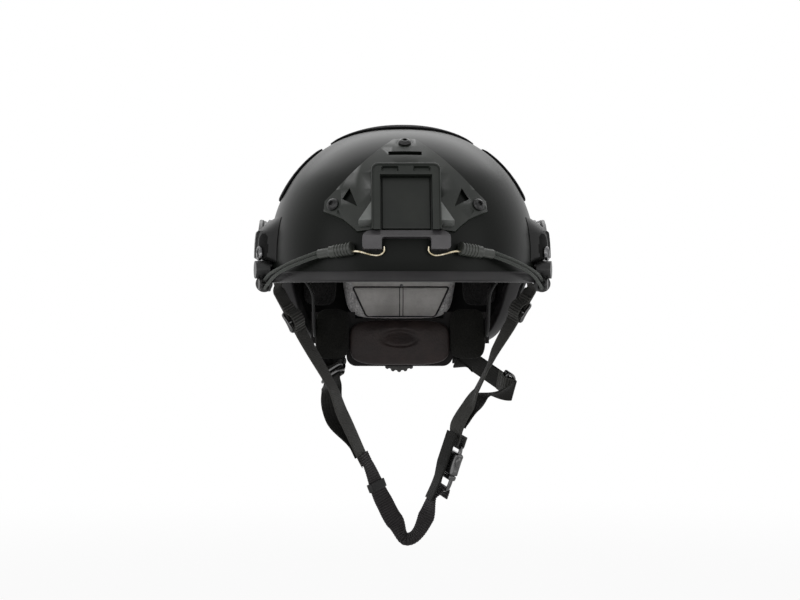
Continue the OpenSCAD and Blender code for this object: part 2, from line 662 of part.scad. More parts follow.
// Involute teeth for the pinion, straight flanks for the racks
pressure = 20;
tooth_slack = 0.1;
addendum = 0.7 * gear_module;
dedendum = 1.15 * gear_module;
function inv(a) = tan(a) * 180 / PI - a;
function flank(r) = let (base = pitch_r * cos(pressure), a = acos(min(1, base / max(r, base))))
    (90 - tooth_slack / gear_module * 57.3) / teeth + inv(pressure) - inv(a);
function tooth_points(centre) = [
    for (r = [pitch_r - dedendum, pitch_r * cos(pressure), pitch_r, pitch_r + addendum])
        let (b = centre - flank(r)) [r * cos(b), r * sin(b)],
    for (r = [pitch_r + addendum, pitch_r, pitch_r * cos(pressure), pitch_r - dedendum])
        let (b = centre + flank(r)) [r * cos(b), r * sin(b)]];
module dial_pinion() {
    color([0.45, 0.45, 0.42]) translate([0, chamber_y[0] + 1.6, dial_z]) rotate([-90, 0, 0]) difference() {
        linear_extrude(rack_t + 1.2)
            polygon([for (k = [0 : teeth - 1]) each tooth_points(90 + k * 360 / teeth)]);
        translate([0, 0, -1]) cylinder(r = axle_r + 0.06, h = 8);
    }
}
// side -1 is the rack above the pinion, from the left wing, and 1 the one below it, from the right.
rack_out = cover_w / 2 - wall - 0.8;
rack_in = 9;
module rack(side) {
    pitch = PI * gear_module;
    half = pitch / 4 - tooth_slack;
    lean = addendum * tan(pressure);
    fall = dedendum * tan(pressure);
    count = floor((rack_out + rack_in - 2) / pitch);
    back = pitch_r + 5.4 * gear_module;
    first = -rack_in + 1 + half + fall;
    start = (round(first / pitch - 0.5) + 0.5) * pitch;
    outline = concat([[rack_out, pitch_r + dedendum], [rack_out, back], [-rack_in, back],
        [-rack_in, pitch_r + dedendum]],
        [for (k = [0 : count - 1]) let (x = start + k * pitch)
            each [[x - half - fall, pitch_r + dedendum], [x - half + lean, pitch_r - addendum],
                [x + half - lean, pitch_r - addendum], [x + half + fall, pitch_r + dedendum]]]);
    color([0.3, 0.3, 0.29]) translate([0, chamber_y[0] + 1.9 + rack_t, dial_z])
        rotate([90, 0, 0]) rotate([0, 0, side > 0 ? 180 : 0]) mirror([1, 0, 0])
            linear_extrude(rack_t) polygon(outline);
}

// Head bands from the ear cut's upper edge to the cradle's wings
band_h = -shell_t - 5.6;
band_top = skin(band_spot[0], band_spot[1], band_h);
band_out = normal_at(band_spot[0], band_spot[1]);
band_along = unit(cross([0, 0, 1], band_out));
band_down = -cross(band_out, band_along);
band_knots = [
    [band_top - 8 * band_down, band_down, band_along, 2],
    [band_top + 10 * band_down, band_down, band_along, 8],
    [[wing_x + 1, 31, -13], [-0.05, 0.25, -0.97], [0, 0.97, 0.25], 8],
    [[wing_x, wing_y[0] - travel - 1, tail_z], [0, 1, 0], [0, 0, 1], 1],
    [[wing_x, wing_y[1] - 4, tail_z], [0, 1, 0], [0, 0, 1], 1]];
module head_band(side) {
    color([0.12, 0.12, 0.12]) on_side(side) difference() {
        ribbon(band_knots, band_w, band_t);
        on_skin(band_spot[0], band_spot[1]) cylinder(r = shank_r + 0.4, h = 60, center = true);
    }
}
// Bolts through the shell's inner skin for the front straps and the head bands
module harness_bolts() {
    boss_h = -band_h - shell_t - inner_gap;
    color([0.25, 0.25, 0.26]) for (side = [-1, 1]) on_side(side) for (s = [harness_spot, band_spot])
        on_skin(s[0], s[1], band_h) mirror([0, 0, 1]) {
            translate([0, 0, band_t / 2 + 0.35]) button_screw(1);
            translate([0, 0, -boss_h]) {
                cylinder(r = shank_r, h = boss_h + 0.8);
                cylinder(r = 5.5, h = boss_h - band_t / 2 - 0.3);
            }
        }
}

// Brackets that carry the rear straps at the nape
bracket_t = 1.8;
slot_drop = 31.5;
module nape_bracket(side) {
    color([0.22, 0.22, 0.23]) on_side(side) on_skin(bracket_spot[0], bracket_spot[1], bracket_h)
        difference() {
            union() {
                translate([-8, -36, 0]) cube([16, 44, bracket_t]);
                translate([-strap_w / 2 - 4.5, -38.4, 0]) cube([strap_w + 9, 14, bracket_t]);
            }
            translate([0, 0, -10]) cylinder(r = shank_r + 0.3, h = 20);
            translate([0, -slot_drop, 0]) bar([strap_w + 2, 5, 20]);
        }
}
module nape_bracket_screws() {
    color([0.3, 0.3, 0.31]) for (side = [-1, 1]) on_side(side) {
        on_skin(bracket_spot[0], bracket_spot[1], fit_gap) button_screw(shell_t - 1);
        on_skin(bracket_spot[0], bracket_spot[1], -shell_t - inner_gap - 1.8) cylinder(r = 5, h = 1.8);
        on_skin(bracket_spot[0], bracket_spot[1], bracket_h - fit_gap) {
            mirror([0, 0, 1]) cylinder(r = 4.6, h = 1.6);
            cylinder(r = shank_r, h = shell_t + 4);
        }
    }
}

// The release buckle lies between the right-hand straps and the chin strap. In its own frame
// x runs across it, y through it and z from the socket's bar to the plug's bar.
drop = chin_drop / 224;
plug_dir = unit([-0.31, 0.04, -0.95]);
buckle_mid = [41.5, 6, -160 * drop];
buckle_wide = [-0.35, 0.94, 0];
buckle_x = unit(buckle_wide - (buckle_wide * plug_dir) * plug_dir);
buckle_y = cross(plug_dir, buckle_x);
function at_buckle(y, z) = buckle_mid + y * buckle_y + z * plug_dir;
module in_buckle() {
    frame_at(buckle_mid, plug_dir, buckle_x) children();
}
buckle_bar = 3.2;
socket_l = buckle_l * 0.62;
turn_y = buckle_bar / 2 + fit_gap + 0.1 + strap_t / 2;    // from the middle of a bar to the webbing
turn_z = buckle_bar / 2 + turn_y;

// Webbing. A strap's knots run from its anchor to where it ends.
strap_top = skin(harness_spot[0], harness_spot[1], band_h);
top_out = normal_at(harness_spot[0], harness_spot[1]);
top_along = unit(cross([0, 0, 1], top_out));
top_down = -cross(top_out, top_along);
strap_low = skin(harness_spot[0], 11, band_h);
function mirrored(p, side) = [side * p.x, p.y, p.z];
function on_anchor(side) = [
    [mirrored(strap_top - 8 * top_down, side), mirrored(top_down, side), mirrored(top_along, side), 2],
    [mirrored(strap_top + 10 * top_down, side), mirrored(top_down, side), mirrored(top_along, side), 3],
    [mirrored(strap_low, side), [0, 0, -1], mirrored(top_along, side), 7]];
// A run is the straight stretch that a slider moves on: [start, direction, width direction, length].
left_run = [[-105, -17, -9], unit([0.47, 0.04, -0.88]), [0.42, 0.88, 0.26], 42];
right_run = [[109, -17, -8], unit([-0.5, 0.04, -0.865]), [-0.36, 0.89, 0.27], 36];
rear_right_run = [[68, 96, -73], unit([0.569, -0.715, -0.401]), [-0.25, 0.55, -0.75], 56];
rear_left_run = [[-57, 97, -74], unit([-0.12, -0.88, -0.42]), [-0.75, 0.35, -0.5], 34];
function run_knots(run, steps) = [
    [run[0], run[1], run[2], 1],
    [run[0] + run[3] * run[1], run[1], run[2], steps]];
function turned(run) = [run[0], run[1], -run[2], run[3]];
left_knots = concat(on_anchor(-1), run_knots(left_run, 4), [
    [[-61, -4, -89 * drop], [0.46, 0.1, -0.88], [0.32, 0.94, 0.15], 4],
    [[-50, 4, -117 * drop], [0.44, 0.1, -0.9], [0.45, 0.87, 0.22], 5],
    [[-31, 8, -158 * drop], [0.45, 0, -0.89], [0.37, 0.91, 0.19], 1]]);
right_knots = concat(on_anchor(1), run_knots(right_run, 5), [
    [[79, -9, -61 * drop], [-0.43, 0.15, -0.89], [-0.2, 0.97, 0.2], 3],
    [[73.5, -6, -74 * drop], [-0.42, 0.15, -0.9], [0, 1, 0.1], 3],
    [[63.5, -2.4, -95 * drop], [-0.44, 0.15, -0.88], [-0.12, 0.98, 0.03], 2],
    [[57.6, 1, -106.6 * drop], [-0.5, 0.1, -0.87], [-0.5, 0.86, 0.05], 4],
    [[48, 4, -124 * drop], [-0.36, 0.05, -0.93], [-0.6, 0.8, 0], 4],
    [at_buckle(-turn_y, buckle_bar / 2 - buckle_l / 2), plug_dir, buckle_x, 3],
    [at_buckle(0, turn_z - buckle_l / 2), buckle_y, buckle_x, 3],
    [at_buckle(turn_y, buckle_bar / 2 - buckle_l / 2), -plug_dir, buckle_x, 1],
    [at_buckle(turn_y, -7 - buckle_l / 2), -plug_dir, buckle_x, 1]]);
module front_strap(knots) {
    color([0.17, 0.17, 0.16]) difference() {
        ribbon(knots);
        for (side = [-1, 1]) on_side(side) on_skin(harness_spot[0], harness_spot[1])
            cylinder(r = shank_r + 0.4, h = 50, center = true);
    }
}
// A knot that lies on a strap's face at one of its stations, lift away from its middle.
function laid_on(s, lift, steps, turn = 1) = [s[0] + lift * cross(s[1], s[2]), s[1], turn * s[2], steps];
lap = strap_t + fit_gap + 0.1;
left_line = stations(left_knots);
right_line = stations(right_knots);
left_last = len(left_line) - 1;
// The loop of a rear strap round the lower bar of its bracket's slot
bracket_n = normal_at(bracket_spot[0], bracket_spot[1]);
bracket_x = unit(cross([0, 0, 1], bracket_n));
bracket_up = cross(bracket_n, bracket_x);
bracket_h = -shell_t - inner_gap - 2 - bracket_t;
bar_at = skin(bracket_spot[0], bracket_spot[1], bracket_h + bracket_t / 2) - (slot_drop + 4.7) * bracket_up;
function loop_knots(side) = let (
    n = mirrored(bracket_n, side), up = mirrored(bracket_up, side), x = -mirrored(bracket_x, side),
    c = mirrored(bar_at, side), g = 2 * fit_gap + 0.4 + strap_t / 2) [
    [c + (bracket_t / 2 + 4.5) * -n + 3 * up, n, x, 2],
    [c + (2.2 + g) * up, n, x, 2],
    [c + (bracket_t / 2 + g) * n, -up, x, 2],
    [c - (2.2 + g) * up, -n, x, 2],
    [c + 2 * -n - (2.6 + g) * up, -n - 0.3 * up, x, 5]];
rear_right_end = rear_right_run[0] + rear_right_run[3] * rear_right_run[1];
fold_dir = [-0.81, -0.564, -0.144];
rear_right_knots = concat(loop_knots(1), run_knots(turned(rear_right_run), 3), [
    [rear_right_end + 3 * rear_right_run[1] + 3 * fold_dir, fold_dir, [0.125, -0.41, 0.903], 4],
    [[81, 40, -98], [-0.8, -0.58, -0.1], [0.55, -0.8, 0.12], 4],
    [[68, 25, -101 * drop], [-0.55, -0.6, -0.55], [0.6, -0.75, -0.15], 6],
    laid_on(right_line[28], lap + 1.3, 2, -1),
    laid_on(right_line[30], lap, 1, -1)]);
rear_left_knots = concat(loop_knots(-1), run_knots(rear_left_run, 4), [
    [[-64, 38, -98 * drop], [-0.05, -0.65, -0.75], [-0.35, 0.75, -0.55], 4],
    [[-61, 20, -118 * drop], [0.3, -0.35, -0.88], [0.1, 0.9, -0.37], 5],
    laid_on(left_line[left_last - 2], -lap, 2),
    laid_on(left_line[left_last - 1], -lap, 1)]);
module rear_strap(knots) {
    color([0.15, 0.16, 0.14]) ribbon(knots);
}
chin_knots = [
    laid_on(left_line[left_last - 1], lap, 2),
    laid_on(left_line[left_last], lap, 5),
    [[-16, 7, -189 * drop], [0.48, 0, -0.87], [0.66, 0.64, 0.38], 5],
    [[-6, 6, -207 * drop], [0.62, 0, -0.78], [0.6, 0.6, 0.5], 6],
    [[5, 5, 1.5 - chin_drop], [1, 0, 0.05], [0, 0.88, 0.45], 6],
    [[21, 5, -203 * drop], [0.4, 0, 0.92], [-0.65, 0.72, 0.25], 5],
    [at_buckle(-6.8, buckle_l / 2 + 7), [0.4, 0, 0.91], [-0.25, 0.95, 0.1], 4],
    [at_buckle(-turn_y, buckle_l / 2 - buckle_bar / 2), -plug_dir, buckle_x, 3],
    [at_buckle(0, buckle_l / 2 - turn_z), buckle_y, buckle_x, 3],
    [at_buckle(turn_y, buckle_l / 2 - buckle_bar / 2), plug_dir, buckle_x, 1],
    [at_buckle(turn_y, buckle_l / 2 + 5), plug_dir, buckle_x, 1]];
// The chin strap's free end, back up beside the buckle
tail_knots = [
    [at_buckle(-9.4, buckle_l / 2 + 10), [0.42, 0, 0.9], [-0.25, 0.95, 0.1], 4],
    [at_buckle(-7.4, 11), -plug_dir, [-0.3, 0.95, 0], 4],
    [at_buckle(-8.4, -2), -plug_dir, [-0.55, 0.83, 0], 2],
    [at_buckle(-8.4, -24), -plug_dir, [-0.55, 0.83, 0], 1]];
module chin_strap() {
    color([0.16, 0.16, 0.15]) {
        ribbon(chin_knots);
        ribbon(tail_knots);
    }
}
module strap_keeper() {
    at = stations(chin_knots)[5];
    color([0.08, 0.08, 0.08]) frame_at(at[0], at[1], at[2]) difference() {
        bar([strap_w + 4, strap_t + 3.4, 8]);
        bar([strap_w + 1.4, strap_t + 1.4, 20]);
    }
}
module round_bar(w) {
    rotate([0, 90, 0]) cylinder(r = buckle_bar / 2, h = w, center = true, $fn = 24);
}
module buckle_socket() {
    w = buckle_w;
    color([0.1, 0.1, 0.1]) in_buckle() translate([0, 0, -buckle_l / 2]) difference() {
        union() {
            translate([0, 0, 8 + (socket_l - 8) / 2]) bar([w, buckle_t, socket_l - 8]);
            for (s = [-1, 1]) translate([s * (w / 2 - 2.2), 0, 5]) bar([4.4, 4, 10]);
            translate([0, 0, buckle_bar / 2]) round_bar(w);
        }
        translate([0, 0, 10 + socket_l / 2]) bar([w - 4, buckle_t - 3, socket_l]);
        for (s = [-1, 1]) translate([s * w / 2, 0, 15]) bar([6, buckle_t - 3, 9]);
    }
}
module buckle_plug() {
    w = buckle_w;
    neck = socket_l - buckle_l / 2 + 0.5;
    inside = (w - 4) / 2 - slide_gap;
    thick = buckle_t - 3 - 2 * slide_gap;
    color([0.11, 0.11, 0.11]) in_buckle() union() {
        translate([0, 0, neck + 2.2]) bar([w, buckle_t - 1, 4.4]);
        for (s = [-1, 1]) {
            translate([s * (inside - 1.6), 0, neck - 7.5]) bar([3.2, thick, 18]);
            translate([s * (w / 2 - 2.2), 0, (neck + buckle_l / 2) / 2]) bar([4.4, 4, buckle_l / 2 - neck]);
        }
        translate([0, 0, neck - 6]) bar([4, thick - 1, 15]);
        translate([0, 0, (buckle_l - buckle_bar) / 2]) round_bar(w);
    }
}
// A sliding adjuster: the outer bars pass behind the strap and the middle bar in front of it.
slider_bar = 3;
module slider(run, at, size, facing) {
    inner = strap_w / 2 + slide_gap + 0.3;
    lift = strap_t / 2 + slide_gap;
    color([0.1, 0.1, 0.1]) frame_at(run[0] + at * run[1], run[1], facing * run[2]) {
        for (s = [-1, 1]) {
            translate([s * (inner + 1.6), 0, 0]) bar([3.2, 2 * lift + 3, size]);
            translate([0, -lift - 1, s * (size - slider_bar) / 2]) bar([2 * inner + 1, 2, slider_bar]);
        }
        translate([0, lift + 1, 0]) bar([2 * inner + 1, 2, slider_bar + 1]);
    }
}

// Bungees, one on each side: a doubled cord from the rail's cleat to a ferrule with a wire hook
bungee_h = 7.5;
turn_r = 3.3;
hook_at = [17, 24];
ferrule_at = [28.8, 20.3];
function cord_at(t, lift) = skin(mix(ferrule_at[0], cleat_spot[0] - 4, t),
    mix(ferrule_at[1], cleat_spot[1] + 2.4, t) + lift, bungee_h);
function strand(lift, count, back) = [for (i = [0 : count]) let (t = back ? 1 - i / count : i / count)
    cord_at(t, mix(1.65, turn_r, ease(t * 2 - 1)) * lift)];
function turn_points() = [for (k = [0 : 5]) let (
    b = 90 - k * 36, c = skin(cleat_spot[0], cleat_spot[1], bungee_h),
    n = normal_at(cleat_spot[0], cleat_spot[1]), x = unit(cross([0, 0, 1], n)))
    c + turn_r * (cos(b) * x + sin(b) * cross(n, x))];
function bungee_line() = let (p = concat(strand(1, 9, false), turn_points(), strand(-1, 9, true)))
    [for (i = [0 : len(p) - 1]) let (
        d = unit(p[min(i + 1, len(p) - 1)] - p[max(i - 1, 0)]), out = unit([p[i].x, p[i].y, 0]))
        [p[i], d, unit(out - (out * d) * d)]];
module bungee(side) {
    color([0.15, 0.16, 0.15]) on_side(side) loft(tube_loops(bungee_line(), bungee_d / 2, 8));
}
ferrule_start = skin(hook_at[0], hook_at[1] + 0.5, bungee_h);
ferrule_end = skin(ferrule_at[0], ferrule_at[1], bungee_h);
ferrule_dir = unit(ferrule_end - ferrule_start);
ferrule_len = norm(ferrule_end - ferrule_start);
module ferrule(side) {
    r = ferrule_d / 2;
    color([0.2, 0.21, 0.2]) on_side(side) frame_at(ferrule_start, ferrule_dir, [0, 0, 1]) difference() {
        union() {
            cylinder(r = r - 0.5, h = ferrule_len * 0.6);
            for (k = [0 : 5]) translate([0, 0, 0.4 + k * 2.7]) cylinder(r = r, h = 1.7);
            translate([0, 0, ferrule_len * 0.6 - 1]) cylinder(r1 = r - 0.5, r2 = r - 1.6, h = 3);
            cylinder(r = r - 1.6, h = ferrule_len - 0.3);
        }
        translate([0, 0, ferrule_len - 8]) bar([2 * bungee_d + 1.6, bungee_d + 0.6, 18]);
        translate([0, 0, -1]) translate([-2.6, 0, 0]) cylinder(r = wire_d / 2 + 0.15, h = 8);
    }
}
wire_x = 19.2;
module hook(side) {
    z = hook_at[1] - 4.6;
    start = ferrule_start - 2.6 * unit([0, 0, 1] - ferrule_dir.z * ferrule_dir);
    y = -shell_front - bungee_h + 0.6;
    color([0.75, 0.68, 0.5]) on_side(side) tube([
        [start + 6 * ferrule_dir, -ferrule_dir, [0, 0, 1], 2],
        [start, -ferrule_dir, [0, 0, 1], 6],
        [[wire_x + 4, y, z - 0.3], [-1, 0, 0], [0, 0, 1], 5],
        [[wire_x - 1.6, y, z + 4.2], [0.05, 0, 1], [1, 0, 0], 2],
        [[wire_x - 1.4, y, z + 6.6], [0.05, 0, 1], [1, 0, 0], 1]], wire_d / 2, 10);
}

shell();
edge_trim();
shroud_plate();
shroud_insert();
shroud_screws();
shroud_nuts();
bungee_bridge();
rail(-1);  // rail_left
rail(1);  // rail_right
rail_screws(-1);  // rail_screws_left
rail_screws(1);  // rail_screws_right
rail_nuts();
bungee_anchor(-1);  // bungee_anchor_left
bungee_anchor(1);  // bungee_anchor_right
loop_panel(-1);  // loop_panel_left
loop_panel(1);  // loop_panel_right
loop_panel_crown();
crown_pad();
color([0.1, 0.1, 0.1]) pad(brow_box);  // brow_pad
color([0.4, 0.39, 0.38]) quilted_pad(rear_box, 0);  // rear_pad
color([0.1, 0.1, 0.1]) on_side(-1) pad(side_box);  // side_pad_left
color([0.1, 0.1, 0.1]) on_side(1) pad(side_box);  // side_pad_right
color([0.1, 0.1, 0.1]) on_side(-1) pad(corner_box);  // corner_pad_left
color([0.1, 0.1, 0.1]) on_side(1) pad(corner_box);  // corner_pad_right
pad_discs();
head_band(-1);  // head_band_left
head_band(1);  // head_band_right
harness_bolts();
nape_bracket(-1);  // nape_bracket_left
nape_bracket(1);  // nape_bracket_right
nape_bracket_screws();
front_strap(left_knots);  // front_strap_left
front_strap(right_knots);  // front_strap_right
rear_strap(rear_left_knots);  // rear_strap_left
rear_strap(rear_right_knots);  // rear_strap_right
chin_strap();
strap_keeper();
buckle_socket();
buckle_plug();
slider(left_run, 27, 20, 1);  // slider_front_left
slider(right_run, 19, 20, -1);  // slider_front_right
slider(rear_left_run, 20, 16, 1);  // slider_rear_left
slider(rear_right_run, 47, 16, -1);  // slider_rear_right
nape_cradle();
cradle_cover();
nape_pad();
wing_pad(-1);  // wing_pad_left
wing_pad(1);  // wing_pad_right
dial_axle();
dial_knob();
dial_pinion();
rack(-1);  // rack_left
rack(1);  // rack_right
bungee(-1);  // bungee_left
bungee(1);  // bungee_right
ferrule(-1);  // ferrule_left
ferrule(1);  // ferrule_right
hook(-1);  // hook_left
hook(1);  // hook_right
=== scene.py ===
import json
import math

import bmesh
import bpy
import numpy as np
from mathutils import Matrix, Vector

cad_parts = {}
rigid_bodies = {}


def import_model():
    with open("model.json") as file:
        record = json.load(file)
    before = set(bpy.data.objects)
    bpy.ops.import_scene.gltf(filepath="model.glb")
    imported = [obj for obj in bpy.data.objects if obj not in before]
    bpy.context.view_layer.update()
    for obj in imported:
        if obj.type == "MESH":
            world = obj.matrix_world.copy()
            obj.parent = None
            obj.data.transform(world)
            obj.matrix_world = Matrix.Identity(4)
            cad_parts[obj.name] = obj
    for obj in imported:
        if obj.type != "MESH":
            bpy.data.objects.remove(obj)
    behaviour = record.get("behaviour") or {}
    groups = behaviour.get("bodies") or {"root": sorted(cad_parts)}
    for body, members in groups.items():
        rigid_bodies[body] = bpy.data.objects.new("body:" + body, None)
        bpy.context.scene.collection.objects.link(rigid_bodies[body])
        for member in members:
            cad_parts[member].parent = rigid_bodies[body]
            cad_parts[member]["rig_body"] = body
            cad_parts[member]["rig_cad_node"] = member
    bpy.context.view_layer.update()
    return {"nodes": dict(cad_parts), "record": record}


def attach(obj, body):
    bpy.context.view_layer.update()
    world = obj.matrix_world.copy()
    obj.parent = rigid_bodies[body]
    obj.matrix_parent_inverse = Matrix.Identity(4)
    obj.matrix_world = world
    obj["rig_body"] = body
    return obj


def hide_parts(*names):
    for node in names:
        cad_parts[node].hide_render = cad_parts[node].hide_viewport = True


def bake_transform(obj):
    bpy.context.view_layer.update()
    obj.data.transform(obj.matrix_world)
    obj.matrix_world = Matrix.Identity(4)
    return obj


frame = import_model()
bodyOf = {node: body for body, nodes in frame["record"]["behaviour"]["bodies"].items() for node in nodes}
mm = 0.001

# The camera stands straight in front of the helmet, at the height of the middle of the picture.
camera = {"bearing": -1.4, "distance": 1.8, "height": -0.0163, "lens": 94.185, "shift": -0.0025}


def addCamera():
    bearing = math.radians(camera["bearing"])
    back = Vector((math.sin(bearing), -math.cos(bearing), 0))
    bpy.ops.object.camera_add(location=back * camera["distance"] + Vector((0, 0, camera["height"])))
    made = bpy.context.object
    made.rotation_mode = "QUATERNION"
    made.rotation_quaternion = (-back).to_track_quat("-Z", "Y")
    made.data.lens = camera["lens"]
    made.data.sensor_width = 36
    made.data.shift_x = camera["shift"]
    bpy.context.scene.camera = made


addCamera()
print("camera placed")


# The shell's surface: bearings in degrees from the front, heights in metres above the front brim.
shell = {"width": 0.227, "front": 0.138, "rear": 0.140, "crown": 0.1314, "waist": 0.020, "thickness": 0.008,
         "earHeight": 0.027, "rearDrop": 0.052, "earRise": (66, 86), "earFall": (104, 146),
         "brimFlare": 0.0022, "flareHeight": 0.018, "flareEnd": (40, 62), "rearFlare": 0.6,
         "flareBack": (138, 156), "planPower": 2.3, "sidePower": 2.12, "around": 240, "down": 84}
bothSides = (("left", -1), ("right", 1))
domeRise = shell["crown"] - shell["waist"]


def sinOf(degrees):
    return np.sin(np.radians(degrees))


def cosOf(degrees):
    return np.cos(np.radians(degrees))


def unit(v):
    v = np.asarray(v, float)
    return v / np.linalg.norm(v, axis=-1, keepdims=True)


def squareTo(v, d):
    v = np.asarray(v, float)
    return unit(v - (v @ d) * d)


def acrossAndUp(out):
    across = unit(np.cross([0, 0, 1], out))
    return across, np.cross(out, across)


# A share of the way from 0 to 1 as the number of a row or a station
def rowAt(share, last):
    return np.rint(share * last).astype(int)


def mix(a, b, t):
    return a + (b - a) * t


def ease(x):
    c = np.clip(x, 0, 1)
    return c * c * (3 - 2 * c)


def ramp(x, span):
    return ease((x - span[0]) / (span[1] - span[0]))


def fromFront(phi):
    return np.abs((np.asarray(phi, float) + 180) % 360 - 180)


def depthOf(phi):
    return np.where(cosOf(phi) > 0, shell["front"], shell["rear"])


def reach(phi):
    p = shell["planPower"]
    across, along = np.abs(sinOf(phi)) / (shell["width"] / 2), np.abs(cosOf(phi)) / depthOf(phi)
    return (across ** p + along ** p) ** (-1 / p)


def rimHeight(phi):
    u = fromFront(phi)
    return shell["earHeight"] * ramp(u, shell["earRise"]) \
        - (shell["earHeight"] + shell["rearDrop"]) * ramp(u, shell["earFall"])


def angleAt(z):
    share = np.clip((np.asarray(z, float) - shell["waist"]) / domeRise, 0, 1)
    return np.where(z > shell["waist"], np.degrees(np.arccos(share ** (shell["sidePower"] / 2))),
                    90 + np.degrees((shell["waist"] - z) / domeRise))


def heightAt(a):
    a = np.asarray(a, float)
    return np.where(a < 90, shell["waist"] + domeRise * np.clip(cosOf(a), 0, 1) ** (2 / shell["sidePower"]),
                    shell["waist"] - np.radians(a - 90) * domeRise)


def spreadAt(a):
    return np.where(np.asarray(a) < 90, np.clip(sinOf(a), 0, 1) ** (2 / shell["sidePower"]), 1)


def flareOut(phi):
    u = fromFront(phi)
    rear = shell["rearFlare"] * ramp(u, shell["flareBack"])
    return shell["brimFlare"] * (1 - ramp(u, shell["flareEnd"]) + rear)


def flareAt(phi, z):
    return flareOut(phi) * np.clip(1 - (z - rimHeight(phi)) / shell["flareHeight"], 0, 1) ** 2


def normalAt(phi, a):
    r, half, p = reach(phi), shell["width"] / 2, shell["planPower"]
    out = spreadAt(a) ** (shell["sidePower"] - 1)
    side = out * (r * np.abs(sinOf(phi)) / half) ** (p - 1) * np.sign(sinOf(phi)) / half
    along = -out * (r * np.abs(cosOf(phi)) / depthOf(phi)) ** (p - 1) * np.sign(cosOf(phi)) / depthOf(phi)
    up = np.maximum(0, (heightAt(a) - shell["waist"]) / domeRise) ** (shell["sidePower"] - 1) / domeRise
    side, along, up = np.broadcast_arrays(side, along, up)
    return unit(np.stack([side, along, up], -1))


def skinAngle(phi, a, h):
    phi, a, h = np.broadcast_arrays(np.asarray(phi, float), np.asarray(a, float), np.asarray(h, float))
    z = heightAt(a)
    r = spreadAt(a) * reach(phi) + flareAt(phi, z)
    return np.stack([r * sinOf(phi), -r * cosOf(phi), z], -1) + h[..., None] * normalAt(phi, a)


def skin(phi, z, h):
    return skinAngle(phi, angleAt(z), h)


def outward(phi, z):
    return normalAt(phi, angleAt(z))


# Shader maths: a Wire is a node's output, and Python's operators on it add Math nodes.
class Wire:
    def __init__(self, finish, socket):
        self.finish = finish
        self.socket = socket

    def math(self, operation, *others):
        return self.finish.node("Math", {"operation": operation}, dict(enumerate([self, *others])))

    def __add__(self, other):
        return self.math("ADD", other)

    def __sub__(self, other):
        return self.math("SUBTRACT", other)

    def __rsub__(self, other):
        return (self * -1) + other

    def __mul__(self, other):
        return self.math("MULTIPLY", other)

    def __truediv__(self, other):
        return self.math("DIVIDE", other)

    __radd__ = __add__
    __rmul__ = __mul__

    def sine(self):
        return self.math("SINE")

    def floor(self):
        return self.math("FLOOR")

    def size(self):
        return self.math("ABSOLUTE")

    def between(self, low, high):
        return self.finish.node("MapRange", {"interpolation_type": "SMOOTHSTEP"},
                                {"Value": self, "From Min": low, "From Max": high})


class Finish:
    def __init__(self, name):
        self.material = bpy.data.materials.new(name)
        self.material.use_nodes = True
        self.tree = self.material.node_tree
        self.tree.nodes.clear()
        self.place = self.node("TexCoord", out="Object")

    # One node: its type, its settings, the values or links of its sockets, and the output wanted
    def node(self, kind, settings=None, sockets=None, out=0):
        made = self.tree.nodes.new("ShaderNode" + kind)
        for name, value in (settings or {}).items():
            setattr(made, name, value)
        for name, value in (sockets or {}).items():
            if isinstance(value, Wire):
                self.tree.links.new(value.socket, made.inputs[name])
            else:
                made.inputs[name].default_value = value
        return Wire(self, made.outputs[out])

    def noise(self, scale, detail=2, rough=0.5):
        return self.node("TexNoise", None, {"Vector": self.place, "Scale": scale, "Detail": detail,
                                            "Roughness": rough})

    def cells(self, scale, feature="F1"):
        return self.node("TexVoronoi", {"feature": feature}, {"Vector": self.place, "Scale": scale})

    # A grey is given as one number
    def blend(self, share, *tones):
        a, b = ((*(tone if isinstance(tone, tuple) else (tone,) * 3), 1) for tone in tones)
        return self.node("Mix", {"data_type": "RGBA"}, {0: share, 6: a, 7: b}, out=2)

    def bump(self, height, depth, strength, below=None):
        sockets = {"Height": height, "Distance": depth, "Strength": strength}
        if below:
            sockets["Normal"] = below
        return self.node("Bump", None, sockets)

    # The piece's own map, in metres: across and along
    def mapped(self):
        across = self.node("SeparateXYZ", None, {0: self.node("UVMap", {"uv_map": "UVMap"})})
        return across, Wire(self, across.socket.node.outputs[1])

    def shows(self, wire):
        end = self.tree.nodes.new("ShaderNodeOutputMaterial")
        self.tree.links.new(wire.socket, end.inputs["Surface"])
        return self.material

    def done(self, **sockets):
        names = {"colour": "Base Color", "rough": "Roughness", "metal": "Metallic", "normal": "Normal",
                 "specular": "Specular IOR Level", "sheen": "Sheen Weight", "sheenRough": "Sheen Roughness"}
        return self.shows(self.node("BsdfPrincipled", None, {names[key]: v for key, v in sockets.items()}))


def paint(piece, *finishes):
    piece.data.materials.clear()
    for made in finishes:
        piece.data.materials.append(made)


def select(*pieces):
    bpy.ops.object.select_all(action="DESELECT")
    for piece in pieces:
        piece.select_set(True)
    bpy.context.view_layer.objects.active = pieces[0]


def editAll(piece, *steps):
    select(piece)
    bpy.ops.object.mode_set(mode="EDIT")
    bpy.ops.mesh.select_all(action="SELECT")
    for step in steps:
        step()
    bpy.ops.object.mode_set(mode="OBJECT")


def weld():
    bpy.ops.mesh.remove_doubles(threshold=2e-6)


def closeEnds():
    bpy.ops.mesh.select_mode(type="EDGE")
    bpy.ops.mesh.select_all(action="DESELECT")
    bpy.ops.mesh.select_non_manifold()
    bpy.ops.mesh.fill_holes(sides=0)
    bpy.ops.mesh.select_all(action="SELECT")


def faceOut():
    bpy.ops.mesh.normals_make_consistent(inside=False)


def smooth(piece, degrees):
    select(piece)
    bpy.ops.object.shade_smooth_by_angle(angle=math.radians(degrees))


def modify(piece, kind, **settings):
    select(piece)
    made = piece.modifiers.new(kind.lower(), kind)
    for name, value in settings.items():
        setattr(made, name, value)
    bpy.ops.object.modifier_apply(modifier=made.name)


